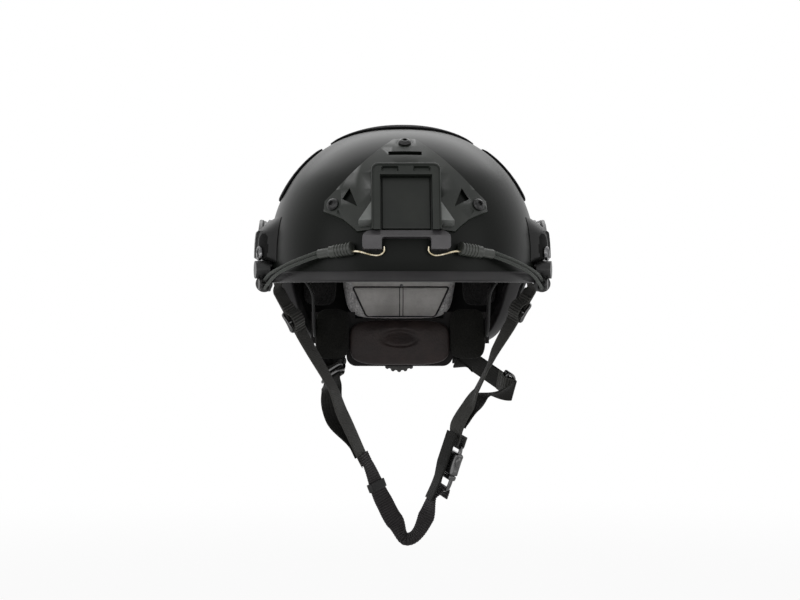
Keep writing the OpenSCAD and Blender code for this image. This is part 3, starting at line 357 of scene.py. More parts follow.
def begin(name, add, **settings):
    bpy.ops.object.select_all(action="DESELECT")
    add(**settings)
    piece = bpy.context.object
    piece.name = piece.data.name = name
    return piece


def pointsOf(piece):
    points = np.empty(len(piece.data.vertices) * 3)
    piece.data.vertices.foreach_get("co", points)
    return points.reshape(-1, 3)


def putPoints(piece, points):
    piece.data.vertices.foreach_set("co", np.ascontiguousarray(points, dtype=np.float64).ravel())
    piece.data.update()


def flipped(p, side):
    return np.array(p) * np.array([side, 1, 1])


def runOf(points):
    return np.concatenate([[0], np.cumsum(np.linalg.norm(np.diff(points, axis=0), axis=1))])


# The points of a line or a ring, with their directions and the width directions nearest the hint
def lineOf(points, hint, ring=False):
    around = np.concatenate([points[-1:], points, points[:1]])
    ahead = unit(around[2:] - around[:-2]) if ring else unit(np.gradient(points, axis=0))
    hint = np.broadcast_to(np.array(hint, float), points.shape)
    return points, ahead, unit(hint - np.sum(hint * ahead, 1, keepdims=True) * ahead)


# A grid primitive whose points are carried to place(u, v), with u and v from 0 to 1
def wrapGrid(name, across, along, place, mapped=None, closed=True):
    piece = begin(name, bpy.ops.mesh.primitive_grid_add, x_subdivisions=across, y_subdivisions=along, size=2)
    u, v = (pointsOf(piece)[:, :2].T + 1) / 2
    putPoints(piece, place(u, v))
    if mapped:
        corner = np.empty(len(piece.data.loops), int)
        piece.data.loops.foreach_get("vertex_index", corner)
        s, t = mapped(u, v)
        piece.data.uv_layers[0].data.foreach_set("uv", np.stack([s[corner], t[corner]], -1).ravel())
    editAll(piece, weld, *((closeEnds, faceOut) if closed else ()))
    return piece


# The piece moves with a body and, if a CAD node is named, stands for it
def carry(piece, body, node=None):
    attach(piece, body)
    if node:
        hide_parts(node)


def settle(piece, body, *finishes, angle=40, node=None):
    smooth(piece, angle)
    paint(piece, *finishes)
    carry(piece, body, node)
    return piece


# Curves from knots, each a point in millimetres, a direction, a width direction and a count of stations
def curveOf(knots, finer=4):
    points, ahead, wide = [], [], []
    knots = [(np.asarray(k[0], float) * mm, unit(k[1]), unit(k[2]), k[3]) for k in knots]
    for i, (a, b) in enumerate(zip(knots, knots[1:])):
        steps = a[3] * finer
        pull = np.linalg.norm(b[0] - a[0]) / 3
        p1, p2 = a[0] + a[1] * pull, b[0] - b[1] * pull
        for s in range(steps + (i == len(knots) - 2)):
            t = s / steps
            w = 1 - t
            points.append(a[0] * w ** 3 + p1 * 3 * w * w * t + p2 * 3 * w * t * t + b[0] * t ** 3)
            ahead.append(unit((p1 - a[0]) * w * w + (p2 - p1) * 2 * w * t + (b[0] - p2) * t * t))
            wide.append(squareTo(mix(a[2], b[2], t), ahead[-1]))
    return np.array(points), np.array(ahead), np.array(wide)


# An outline of (wide, thick) points carried along a line; ribs are a pitch and a share of the thickness.
# The map runs across (round the outline, or straight when it is flat) and along, in metres.
def sweep(name, line, outline, ring=False, flat=False, ribs=None):
    points, ahead, wide = line
    thick = np.cross(ahead, wide)
    outline = np.array(list(outline) + [outline[0]])
    if ring:
        points, wide, thick = (np.concatenate([x, x[:1]]) for x in (points, wide, thick))
    run, edge = runOf(points), runOf(outline)
    m, n = len(outline) - 1, len(points) - 1
    if ribs:
        thick = thick * (1 + ribs[1] * np.sin(2 * np.pi * run / ribs[0]))[:, None]

    def place(u, v):
        i, j = rowAt(v, n), rowAt(u, m)
        return points[i] + outline[j, :1] * wide[i] + outline[j, 1:] * thick[i]

    def mapped(u, v):
        j = rowAt(u, m)
        return (outline[j, 0] if flat else edge[j]), run[rowAt(v, n)]
    return wrapGrid(name, m, n, place, mapped)


def tapeOutline(width, thick, columns=8):
    w, t, r = width / 2, thick / 2, thick * 0.46
    top = [(x, t) for x in np.linspace(-w + r, w - r, columns)]
    right = [(w - r + r * math.sin(a), t * math.cos(a)) for a in np.radians([45, 90, 135])]
    return top + right + [(-x, -y) for x, y in top + right]


def circleOutline(r, sides=20):
    return [(r * math.cos(a), r * math.sin(a)) for a in np.linspace(0, 2 * math.pi, sides, endpoint=False)]


# A copy of a CAD node, merged, with its sharp edges rounded, that then stands for the node
def dressed(node, edge, finish, segments, cutters=()):
    source = frame["nodes"][node]
    piece = source.copy()
    piece.data = source.data.copy()
    piece.name = piece.data.name = node + ".shape"
    piece.parent = None
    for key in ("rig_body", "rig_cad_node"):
        del piece[key]
    bpy.context.scene.collection.objects.link(piece)
    editAll(piece, lambda: bpy.ops.mesh.remove_doubles(threshold=1e-5),
            lambda: bpy.ops.mesh.dissolve_limited(angle_limit=math.radians(1.2)))
    for cutter in cutters:
        modify(piece, "BOOLEAN", operation="DIFFERENCE", solver="EXACT", object=cutter)
        bpy.data.objects.remove(cutter)
    modify(piece, "BEVEL", width=edge, segments=segments, limit_method="ANGLE",
           angle_limit=math.radians(28), use_clamp_overlap=True, harden_normals=False)
    settle(piece, bodyOf[node], finish)
    modify(piece, "WEIGHTED_NORMAL", keep_sharp=True)
    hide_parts(node)
    return piece


# Finishes. Each one has the grain, weave or wear of its own material; some also carry painted shade or
# painted light in their colour.
def makePaint():
    f = Finish("shellPaint")
    fine = f.noise(900, 3, 0.6)
    broad = f.noise(9, 3)
    grain = f.bump(fine, 0.00006, 0.3)
    orangePeel = f.bump(f.noise(160, 2), 0.00015, 0.1, grain)
    colour = f.blend(broad.between(0.3, 0.75), (0.0020, 0.0030, 0.0020), (0.0045, 0.0055, 0.0042))
    return f.done(colour=colour, rough=0.27 + broad * 0.07 + fine * 0.05, specular=0.11, normal=orangePeel)


def makeMoulded(name, dark, light, rough, grain, specular, wear=0.0, depth=0.00008):
    f = Finish(name)
    fine = f.noise(grain, 3, 0.65)
    broad = f.noise(35, 3)
    share = broad.between(0.35, 0.7)
    if wear:
        share = share * (1 - wear) + f.noise(320, 4, 0.7).between(0.56, 0.72) * wear
    return f.done(colour=f.blend(share, dark, light), rough=(rough - 0.06) + broad * 0.14,
                  specular=specular, normal=f.bump(fine, depth, 0.6))


def makeMetal(name, dark, light, rough, metal=1.0):
    f = Finish(name)
    scratch = f.noise(260, 4, 0.7)
    return f.done(colour=f.blend(scratch.between(0.4, 0.68), dark, light), metal=metal,
                  rough=(rough - 0.08) + scratch * 0.2, normal=f.bump(f.noise(1800, 2), 0.00004, 0.5))


# Woven tape: columns of short ribs, read from the piece's own map
def makeWebbing(name, dark, light, rib=0.0015, column=0.0024, depth=0.00035, specular=0.3, sheen=0.12):
    f = Finish(name)
    across, along = f.mapped()
    turn = along / rib
    if column:
        turn = turn + (across / column).floor() * 0.5
    weave = (turn * (2 * math.pi)).sine() * 0.5 + 0.5
    if column:
        weave = weave * (across * (math.pi / column)).sine().size()
    fibre = f.noise(2600, 2, 0.7)
    soft = f.noise(60, 3)
    # Painted shade: the weave's low places are coloured darker, as shade between the ribs; fibre and soft
    # noise are the yarn's own tone
    share = weave * 0.45 + fibre * 0.15 + soft * 0.4
    return f.done(colour=f.blend(share, dark, light), rough=0.62 + fibre * 0.1, specular=specular,
                  sheen=sheen, sheenRough=0.4, normal=f.bump(weave + fibre * 0.15, depth, 0.5))


# Braided cover of a round cord: two slanted sets of strands
def makeBraid(name, dark, light, pitch=0.0011):
    f = Finish(name)
    across, along = f.mapped()
    one = ((along + across) * (2 * math.pi / pitch)).sine()
    two = ((along - across) * (2 * math.pi / pitch)).sine()
    knit = (one * two) * 0.5 + 0.5
    fleck = f.noise(900, 2).between(0.55, 0.7)
    return f.done(colour=f.blend(knit * 0.7 + fleck * 0.3, dark, light), rough=0.7, specular=0.3, sheen=0.2,
                  normal=f.bump(knit, 0.0003, 0.8))


# Short pile, with tufts at one scale and hairs at another
def makePile(name, dark, light, tuft, depth, sheen):
    f = Finish(name)
    tufts = f.cells(tuft)
    hair = f.noise(2400, 3, 0.75)
    patch = f.noise(70, 3)
    share = (1 - tufts.between(0.0, 0.9)) * 0.45 + hair * 0.35 + patch.between(0.35, 0.7) * 0.3
    return f.done(colour=f.blend(share, dark, light), rough=0.9, specular=0.2, sheen=sheen, sheenRough=0.5,
                  normal=f.bump(hair * 0.5 - tufts, depth, 0.8))


# Grained sheet for the covers of the pads
def makeLeather(name, dark, light, rough, cell, depth, specular=0.4):
    f = Finish(name)
    pebble = f.cells(cell, "SMOOTH_F1")
    crease = f.noise(55, 4, 0.6)
    share = crease.between(0.3, 0.72) * 0.7 + pebble * 0.3
    return f.done(colour=f.blend(share, dark, light), rough=rough + crease * 0.14, specular=specular,
                  normal=f.bump(pebble + crease * 0.8, depth, 0.6))


shellPaint = makePaint()
liningPaint = makeMoulded("liningPaint", 0.004, 0.009, 0.75, 500, 0.1, depth=0.0002)
trimRubber = makeMoulded("trimRubber", (0.010, 0.009, 0.010), (0.019, 0.018, 0.019), 0.42, 1200, 0.3)
railPlastic = makeMoulded("railPlastic", 0.009, 0.018, 0.38, 1500, 0.45, 0.15)
shroudPlastic = makeMoulded("shroudPlastic", (0.012, 0.015, 0.012), (0.021, 0.024, 0.020),
                            0.4, 1500, 0.36, 0.2)
insertPlastic = makeMoulded("insertPlastic", (0.010, 0.012, 0.010), (0.018, 0.020, 0.017),
                            0.42, 1300, 0.3, 0.2)
bridgePlastic = makeMoulded("bridgePlastic", (0.056, 0.053, 0.056), (0.092, 0.088, 0.092),
                            0.36, 1400, 0.45, 0.15)
# Painted highlight: the gussets' pale colour stands for the light their faces catch from above
gussetPaintedLight = makeMoulded("gussetPaintedLight", (0.17, 0.18, 0.172), (0.25, 0.26, 0.25), 0.4, 1500, 0.4)
nosePlastic = makeMoulded("nosePlastic", 0.005, 0.010, 0.4, 1500, 0.22, 0.15)
bucklePlastic = makeMoulded("bucklePlastic", 0.006, 0.015, 0.16, 1600, 1.0, 0.15, 0.00004)
bandPlastic = makeMoulded("bandPlastic", 0.008, 0.016, 0.5, 1400, 0.25)
cradlePlastic = makeMoulded("cradlePlastic", (0.0045, 0.0035, 0.0035), (0.009, 0.0075, 0.0075),
                            0.55, 1400, 0.16)
dialRubber = makeMoulded("dialRubber", (0.018, 0.017, 0.016), (0.034, 0.032, 0.030),
                         0.45, 1100, 0.4, depth=0.0001)
ferruleRubber = makeMoulded("ferruleRubber", (0.034, 0.037, 0.032), (0.060, 0.065, 0.056),
                            0.36, 1300, 0.45, 0.2, 0.0001)
keeperRubber = makeMoulded("keeperRubber", 0.007, 0.016, 0.45, 1300, 0.3)
pipingCord = makeMoulded("pipingCord", (0.006, 0.006, 0.006), (0.014, 0.013, 0.013), 0.5, 1800, 0.3)
thread = makeMoulded("thread", 0.014, (0.045, 0.045, 0.042), 0.6, 3000, 0.25, depth=0.00005)
blackScrew = makeMetal("blackScrew", 0.012, 0.045, 0.34, 0.6)
wornSteel = makeMetal("wornSteel", (0.10, 0.10, 0.105), 0.36, 0.32)
hookWire = makeMetal("hookWire", (0.40, 0.34, 0.22), (0.78, 0.72, 0.58), 0.26)
loopPile = makePile("loopPile", (0.0025, 0.0025, 0.003), (0.011, 0.011, 0.012), 900, 0.0005, 0.04)
# Painted light: the rear pad's plush is lightened far past its own grey, up to near white, for light reaching
# its shaded flanks, with bright specks as painted highlights
padPlushPaintedLight = makePile("padPlushPaintedLight", (0.22, 0.21, 0.21), (0.95, 0.93, 0.93), 560, 0.0012, 0.25)
darkPlush = makePile("darkPlush", 0.003, (0.014, 0.013, 0.013), 420, 0.0010, 0.05)
wingSheet = makePile("wingSheet", (0.002, 0.002, 0.0015), (0.008, 0.008, 0.006), 600, 0.0005, 0.03)
# Painted light: the rear pad's grey sheet is lightened past its own colour for light reaching it inside the
# shell
padSheetPaintedLight = makeLeather("padSheetPaintedLight", (0.40, 0.385, 0.372), (0.62, 0.60, 0.58), 0.46, 900, 0.00025)
napeSheet = makeLeather("napeSheet", (0.010, 0.0062, 0.0060), (0.026, 0.017, 0.0155), 0.5, 700, 0.0004, 0.3)
webbingTape = makeWebbing("webbingTape", (0.020, 0.0195, 0.018), (0.066, 0.065, 0.059))
# Painted shade: the same webbing made darker and less shiny, for the rear straps inside the shell and for the
# tail
paintedShadeTape = makeWebbing("paintedShadeTape", (0.004, 0.004, 0.0036), (0.017, 0.017, 0.015),
                         specular=0.14, sheen=0.03)
# The chin tape's wide span from dark to light deepens the painted shade between its ribs
chinTape = makeWebbing("chinTape", (0.003, 0.0028, 0.0028), (0.052, 0.047, 0.049),
                       0.0022, None, 0.0006, 0.2, 0.05)
ribbedTape = makeWebbing("ribbedTape", (0.012, 0.012, 0.011), (0.080, 0.079, 0.072), 0.0024, None, 0.0011)
bungeeBraid = makeBraid("bungeeBraid", (0.018, 0.022, 0.018), (0.076, 0.087, 0.073))
print("finishes made")


# Shell: the dome's outer skin, thickened inwards
def buildShell():
    def place(u, v):
        phi = 360 * u
        return skinAngle(phi, v * angleAt(rimHeight(phi)), 0)
    made = wrapGrid("helmetShell", shell["around"], shell["down"], place, closed=False)
    editAll(made, faceOut)
    middle = made.data.polygons[len(made.data.polygons) // 2]
    if middle.normal @ middle.center < 0:
        editAll(made, bpy.ops.mesh.flip_normals)
    modify(made, "SOLIDIFY", thickness=shell["thickness"], offset=-1, use_even_offset=True)
    settle(made, "helmet", shellPaint, liningPaint, angle=50, node="shell")
    for face in made.data.polygons:
        face.material_index = int(face.normal @ face.center < 0)


# Rubber trim: a rounded channel over the rim, its legs leaning with the flare
trim = {"thick": 0.0017, "leg": 0.0065, "gap": 0.0003, "around": 240, "round": 0.0007}


def buildTrim():
    t, g, leg, r = shell["thickness"], trim["gap"], trim["leg"], trim["round"]
    o = g + trim["thick"]
    n = trim["around"]
    phi = np.arange(n) * 360 / n
    z = rimHeight(phi)
    middle, out = skin(phi, z, 0), outward(phi, z)
    ahead = unit(skin(phi + 0.5, rimHeight(phi + 0.5), 0) - skin(phi - 0.5, rimHeight(phi - 0.5), 0))
    up = np.cross(out, ahead)
    lean = flareOut(phi) * (1 - (1 - leg / shell["flareHeight"]) ** 2)
    # Each point is (up the leg, out of the shell, share of the lean)
    profile = [(-g, -t - g, 0), (-g, g, 0), (leg * 0.5, g, 0.5), (leg, g, 1), (leg + 0.0002, (g + o) / 2, 1),
               (leg, o - 0.0002, 1), (leg - r, o, 0.9), (leg * 0.4, o + 0.0001, 0.4), (0, o, 0),
               (-o + r * 1.6, o - 0.0001, 0), (-o + r * 0.5, o - r * 0.7, 0), (-o, o - r * 2, 0),
               (-o - 0.0001, -t / 2, 0), (-o, -t - o + r * 2, 0), (-o + r * 0.5, -t - o + r * 0.7, 0),
               (-o + r * 1.6, -t - o, 0), (0, -t - o, 0), (leg - r, -t - o - 0.0002, 0.9), (leg, -t - o, 1),
               (leg, -t - g - 0.0002, 1), (leg * 0.5, -t - g - 0.0001, 0.5)]
    m = len(profile)
    wrapped = np.array(profile + profile[:1])

    def place(a, b):
        i, p = rowAt(b, n) % n, wrapped[rowAt(a, m)]
        return middle[i] + p[:, :1] * up[i] + (p[:, 1:2] - p[:, 2:] * lean[i][:, None]) * out[i]
    settle(wrapGrid("edgeTrim", m, n, place), "helmet", trimRubber, node="edge_trim")


buildShell()
buildTrim()
print("shell and trim built")


# Panels of loop pile on the outside, and cushions inside, both laid on the shell's surface.
# A patch is its bearing, half its width in degrees, its height, half its height and its taper.
def roundCorner(t, q):
    c, s = np.cos(t), np.sin(t)
    return np.sign(c) * np.abs(c) ** (2 / q), np.sign(s) * np.abs(s) ** (2 / q)


def patchPoint(box, share, t, h):
    cx, cy = roundCorner(t, loopPanel["squareness"])
    cx, cy = share * cx, share * cy
    return skin(box[0] + box[1] * cx * (1 + box[4] * cy), box[2] * mm + box[3] * mm * cy, h)


loopPanel = {"low": 0.0004, "thick": 0.0018, "side": (98, 25, 90, 22, -0.1), "crown": (31, 15),
             "across": 168, "steps": 30, "squareness": 5}


def panelRings(count):
    low, high = loopPanel["low"], loopPanel["low"] + loopPanel["thick"]
    flat = np.linspace(0, 0.985, count)
    under = [(s, low) for s in flat]
    edge = [(0.995, mix(low, high, 0.12)), (1.0, mix(low, high, 0.4)), (0.998, mix(low, high, 0.75))]
    over = [(s, high - 0.0004 * max(0, (s - 0.93) / 0.055) ** 2) for s in flat[::-1]]
    return np.array(under + edge + over)


def buildLoopPanels():
    rings = panelRings(loopPanel["steps"])
    last, across = len(rings) - 1, loopPanel["across"]

    def sidePlace(u, v):
        i = rowAt(v, last)
        t = (rowAt(u, across) % across) * 2 * np.pi / across
        return patchPoint(loopPanel["side"], rings[i, 0], t, rings[i, 1])

    def crownPlace(u, v):
        i = rowAt(v, last)
        phi = 360 * (u % 1)
        far = 1 / np.hypot(sinOf(phi) / loopPanel["crown"][0], cosOf(phi) / loopPanel["crown"][1])
        return skinAngle(phi, rings[i, 0] * far, rings[i, 1])

    for name, side, place in (("left", -1, sidePlace), ("right", 1, sidePlace), ("crown", 1, crownPlace)):
        made = wrapGrid("loopPanel." + name, across, last, lambda u, v: flipped(place(u, v), side))
        settle(made, "helmet", loopPile, node="loop_panel_" + name)


buildLoopPanels()
print("loop panels built")


# Cushions: a subdivided cube is laid on the shell or the cradle, and cloth pressure swells its face.
# A box is like a loop panel's patch. The crown's pad is given as an angle from the top.
pads = {"back": -0.0104, "thick": 0.018, "squareness": 5, "cuts": 26, "pressure": 3.0, "frames": 14,
        "cap": 0.0028, "seamDip": 0.15, "fill": 0.75, "crown": 24 / 1.12,
        "boxes": {"brow_pad": (0, 36, 32, 19, 0), "rear_pad": (180, 26, -3, 31, 0.11),
                  "side_pad": (90, 19, 75, 20, 0), "corner_pad": (140, 9, 7, 29, 0)}}


def blockPoints(name, cuts):
    piece = begin(name, bpy.ops.mesh.primitive_cube_add, size=2)
    editAll(piece, lambda: bpy.ops.mesh.subdivide(number_cuts=cuts))
    return piece, pointsOf(piece)


def rounded(x, y, q):
    far = np.maximum(np.hypot(x, y), 1e-9)
    c, s = np.abs(x) / far, np.abs(y) / far
    share = np.maximum(c, s) / (c ** q + s ** q) ** (1 / q)
    return x * share, y * share, np.maximum(np.abs(x), np.abs(y))


# Share of the plan and share of the thickness for the points of a block, with a crowned face
def cushionForm(points, squareness, crown=0.34):
    x, y, m = rounded(points[:, 0], points[:, 1], squareness)
    t = (points[:, 2] + 1) / 2
    rise = t * (1 - crown * m ** 6)
    side = 0.9 + 0.1 * np.sin(np.pi * np.clip(rise * 1.15, 0, 1)) - 0.05 * t
    return x * side, y * side, rise


def swell(piece, held, cap):
    rest = pointsOf(piece)
    group = piece.vertex_groups.new(name="held")
    for index, weight in enumerate(held):
        if weight > 0:
            group.add([index], float(weight), "REPLACE")
    cloth = piece.modifiers.new("cloth", "CLOTH")
    cloth.settings.quality = 4
    cloth.settings.mass = 0.15
    cloth.settings.tension_stiffness = cloth.settings.compression_stiffness = 20
    cloth.settings.bending_stiffness = 2
    cloth.settings.use_pressure = True
    cloth.settings.uniform_pressure_force = pads["pressure"]
    cloth.settings.effector_weights.gravity = 0
    cloth.settings.vertex_group_mass = "held"
    for step in range(1, pads["frames"] + 1):
        bpy.context.scene.frame_set(step)
    select(piece)
    bpy.ops.object.modifier_apply(modifier=cloth.name)
    bpy.context.scene.frame_set(1)
    shift = pointsOf(piece) - rest
    size = np.linalg.norm(shift, axis=1, keepdims=True)
    shift *= np.minimum(1, cap / np.maximum(size, 1e-9))
    putPoints(piece, rest + np.nan_to_num(shift))
    piece.vertex_groups.clear()


def shellCushion(name, node, side, finishes, seams=()):
    piece, points = blockPoints(name, pads["cuts"])
    x, y, rise = cushionForm(points, pads["squareness"])
    dip = np.zeros(len(points))
    for axis, at, width in seams:
        near = np.abs((x, y)[axis] - at) / width
        dip = np.maximum(dip, pads["seamDip"] * np.clip(1 - near ** 2, 0, 1) * rise)
    h = pads["back"] - pads["thick"] * (rise - dip)
    if node == "crown_pad":
        place = skinAngle(np.degrees(np.arctan2(x, y)), np.hypot(x, y) * pads["crown"], h)
    else:
        box = next(box for key, box in pads["boxes"].items() if node.startswith(key))
        place = skin(box[0] + box[1] * x * (1 + box[4] * y), (box[2] + box[3] * y) * mm, h)
    putPoints(piece, flipped(place, side))
    held = (points[:, 2] < -0.999) + (dip > 0.03) * 0.9
    swell(piece, np.clip(held, 0, 1), pads["cap"])
    editAll(piece, faceOut)
    modify(piece, "SUBSURF", levels=1, render_levels=1)
    settle(piece, "helmet", *finishes, angle=60, node=node)
    return piece


def lathe(name, profile, start, ahead, hint, sides=48):
    ahead, rows = unit(ahead), np.array(profile)
    x = squareTo(hint, ahead)
    y = np.cross(ahead, x)
    last = len(rows) - 1

    def place(u, v):
        i = rowAt(v, last)
        a = 2 * np.pi * (u % 1)
        return start + rows[i, :1] * ahead + rows[i, 1:] * (np.cos(a)[:, None] * x + np.sin(a)[:, None] * y)
    return wrapGrid(name, sides, last, place)


def buildShellPads():
    shellCushion("padBrow", "brow_pad", 1, [darkPlush], [(0, 0, 0.05)])
    shellCushion("padCrown", "crown_pad", 1, [darkPlush])
    for name, side in bothSides:
        shellCushion("padSide." + name, "side_pad_" + name, side, [darkPlush])
        shellCushion("padCorner." + name, "corner_pad_" + name, side, [darkPlush])
    # The rear pad's plush and sheet are lightened as painted light
    rear = shellCushion("padRear", "rear_pad", 1, [padPlushPaintedLight, padSheetPaintedLight], [(0, 0, 0.035), (1, 0, 0.05)])
    for face in rear.data.polygons:
        x, y, z = face.center
        if abs(x - sheetPatch["centre"]) < sheetHalf(z) and face.normal.y < -0.2:
            face.material_index = 1
    return rear


# The rear pad's sheet: a trapezoid edged with piping, two seams close together down its middle, and a
# small rivet
sheetPatch = {"centre": 0.0016, "top": (-0.0045, 0.0440), "bottom": (-0.0315, 0.0315), "corner": 0.0028,
              "piping": 0.0009, "seam": 0.00042, "seams": (0.0006, 0.0037),
              "rivet": (0.0024, -0.0030, 0.0016)}


def sheetHalf(z):
    (z1, w1), (z2, w2) = sheetPatch["top"], sheetPatch["bottom"]
    return mix(w1, w2, min(1, (z - z1) / (z2 - z1)) if z < z1 else 0)


def onFace(piece, x, z, sink=0.0):
    _, spot, normal, _ = piece.ray_cast(Vector((x, -0.05, z)), Vector((0, 1, 0)))
    return np.array(spot) - sink * np.array(normal), np.array(normal)


def tubeOn(name, piece, spots, radius, ring=False):
    points, out = (np.array(found) for found in zip(*(onFace(piece, x, z, 0.35 * radius) for x, z in spots)))
    made = sweep(name, lineOf(points, out, ring), circleOutline(radius, 10), ring=ring)
    settle(made, "helmet", pipingCord, angle=60)


def buildSheetEdge(rear):
    bpy.context.view_layer.update()
    (z1, w1), (z2, w2) = sheetPatch["top"], sheetPatch["bottom"]
    c, r = sheetPatch["centre"], sheetPatch["corner"]
    corners = [np.array(p) for p in ((c - w1, z1), (c + w1, z1), (c + w2, z2), (c - w2, z2))]
    loop = []
    for k, corner in enumerate(corners):
        before, after = unit(corners[k - 1] - corner), unit(corners[(k + 1) % 4] - corner)
        for t in np.linspace(0, 1, 6):
            loop.append(corner + r * ((1 - t) ** 2 * before + t ** 2 * after))
        start, end = corner + r * after, corners[(k + 1) % 4] - r * after
        for t in np.linspace(0, 1, 26)[1:-1]:
            loop.append(mix(start, end, t))
    tubeOn("padPiping", rear, loop, sheetPatch["piping"], ring=True)
    for name, x in zip(("left", "right"), sheetPatch["seams"]):
        spots = [(x, z) for z in np.linspace(z1, z2, 24)]
        tubeOn("padSeam." + name, rear, spots, sheetPatch["seam"])
    x, z, size = sheetPatch["rivet"]
    spot, normal = onFace(rear, x, z)
    profile = [(-0.0006, 0.0002), (-0.0006, size), (0.0002, size), (0.0006, size * 0.8),
               (0.0009, size * 0.45), (0.001, 0.0002)]
    rivet = lathe("padRivet", profile, spot, normal, (1, 0, 0), 20)
    settle(rivet, "helmet", wornSteel, angle=50)


# Nape pad on the cradle, with an oval pressed into its middle, and the two wing pads
nape = {"half": 0.0465, "tall": 0.021, "middle": -0.0545, "back": 0.0911, "thick": 0.0108, "bow": 0.004,
        "oval": (0.34, 0.35), "ovalRise": 0.19, "ovalWidth": 0.05, "ovalDepth": 0.0012, "ovalTilt": 0.0042,
        "crown": 0.42, "cuts": 46, "cap": 0.0012, "fill": 0.7}
wing = {"middle": (62.2, 73.8, -46.6), "half": (21.4, 23), "thick": 7, "gap": 0.3, "crown": 0.5, "cuts": 22,
        "cap": 0.001, "fill": 0.8}


def buildCradlePads():
    piece, points = blockPoints("napePad", nape["cuts"])
    x, y, rise = cushionForm(points, 4, nape["crown"])
    lift = (y - nape["ovalRise"]) / nape["oval"][1]
    away = np.hypot(x / nape["oval"][0], lift) - 1
    ring = np.abs(away) * nape["oval"][0] / nape["ovalWidth"]
    tilted = nape["ovalTilt"] * np.clip(-6 * away, 0, 1) * (0.5 + 0.5 * lift)
    groove = (nape["ovalDepth"] * np.clip(1 - ring ** 2, 0, 1) + tilted) * (rise > 0.5)
    back = nape["back"] - (nape["thick"] * rise - groove) - nape["bow"] * x ** 2 * np.clip(rise * 3, 0, 1)
    putPoints(piece, np.stack([nape["half"] * x, back, nape["middle"] + nape["tall"] * y], -1))
    swell(piece, np.clip((points[:, 2] < -0.999) + (groove > 0.0004) * 0.9, 0, 1), nape["cap"])
    editAll(piece, faceOut)
    settle(piece, "cradle", napeSheet, angle=60, node="nape_pad")
    inward, across = np.array([-1, -1, 0]) / math.sqrt(2), np.array([1, -1, 0]) / math.sqrt(2)
    seat = np.array(wing["middle"]) + wing["gap"] * inward
    for name, side in bothSides:
        piece, points = blockPoints("wingPad." + name, wing["cuts"])
        x, y, rise = cushionForm(points, 4, wing["crown"])
        place = seat + np.outer(wing["thick"] * rise, inward) + np.outer(wing["half"][0] * x, across) \
            + np.outer(wing["half"][1] * y, (0, 0, 1))
        putPoints(piece, flipped(place * mm, side))
        swell(piece, points[:, 2] < -0.999, wing["cap"])
        editAll(piece, faceOut)
        modify(piece, "SUBSURF", levels=1, render_levels=1)
        settle(piece, "cradle", wingSheet, angle=60, node="wing_pad_" + name)


buildSheetEdge(buildShellPads())
buildCradlePads()
print("cushions built")


# Webbing. Each strap's knots run from its anchor inside the shell to where it ends.
strap = {"width": 0.019, "thick": 0.0015, "anchor": (81, 40), "anchorDepth": -13.6, "low": 11,
         "finer": 5, "chinFiner": 9, "chinRibs": (0.0022, 0.3), "rightJoint": ((28, 30), (31, 33)),
         "leftJoint": 14,
         "leftRun": ((-105, -17, -9), (0.47, 0.04, -0.88), (0.42, 0.88, 0.26), 42),
         "rightRun": ((109, -17, -8), (-0.5, 0.04, -0.865), (-0.36, 0.89, 0.27), 36),
         "rearLeftRun": ((-57, 97, -74), (-0.12, -0.88, -0.42), (-0.75, 0.35, -0.5), 34),
         "rearRightRun": ((68, 96, -73), (0.569, -0.715, -0.401), (-0.25, 0.55, -0.75), 56)}
buckle = {"middle": (41.5, 6, -160), "along": (-0.31, 0.04, -0.95), "across": (-0.35, 0.94, 0),
          "long": 44, "bar": 3.2, "gap": 0.3}
bracket = {"spot": (150.5, -36), "height": -12.7, "thick": 1.8, "slotDrop": 31.5, "barDrop": 4.7,
           "barHalf": 2.2, "tuck": 4.5, "gap": 0.3}
thickMm = strap["thick"] / mm
buckleDir = unit(buckle["along"])
buckleAcross = squareTo(buckle["across"], buckleDir)
buckleFace = np.cross(buckleDir, buckleAcross)
turnY = buckle["bar"] / 2 + buckle["gap"] + 0.1 + thickMm / 2
turnZ = buckle["bar"] / 2 + turnY
endZ = buckle["long"] / 2
lap = thickMm + buckle["gap"] + 0.1


def atBuckle(y, z):
    return np.array(buckle["middle"]) + y * buckleFace + z * buckleDir


# A place inside the shell, in millimetres, and the ways down and along the shell there
def inShell(spot, depth):
    phi, z = spot
    along, up = acrossAndUp(outward(phi, z * mm))
    return skin(phi, z * mm, depth * mm) / mm, -up, along


def mirrored(knots, side):
    return [(*(flipped(v, side) for v in knot[:3]), knot[3]) for knot in knots]


def onAnchor(side):
    top, down, along = inShell(strap["anchor"], strap["anchorDepth"])
    low = skin(strap["anchor"][0], strap["low"] * mm, strap["anchorDepth"] * mm) / mm
    return mirrored([(top - 8 * down, down, along, 2), (top + 10 * down, down, along, 3),
                     (low, (0, 0, -1), along, 7)], side)


def runKnots(run, steps, turn=1):
    start, ahead, wide, far = np.array(run[0], float), unit(run[1]), turn * np.array(run[2]), run[3]
    return [(start, ahead, wide, 1), (start + far * ahead, ahead, wide, steps)]


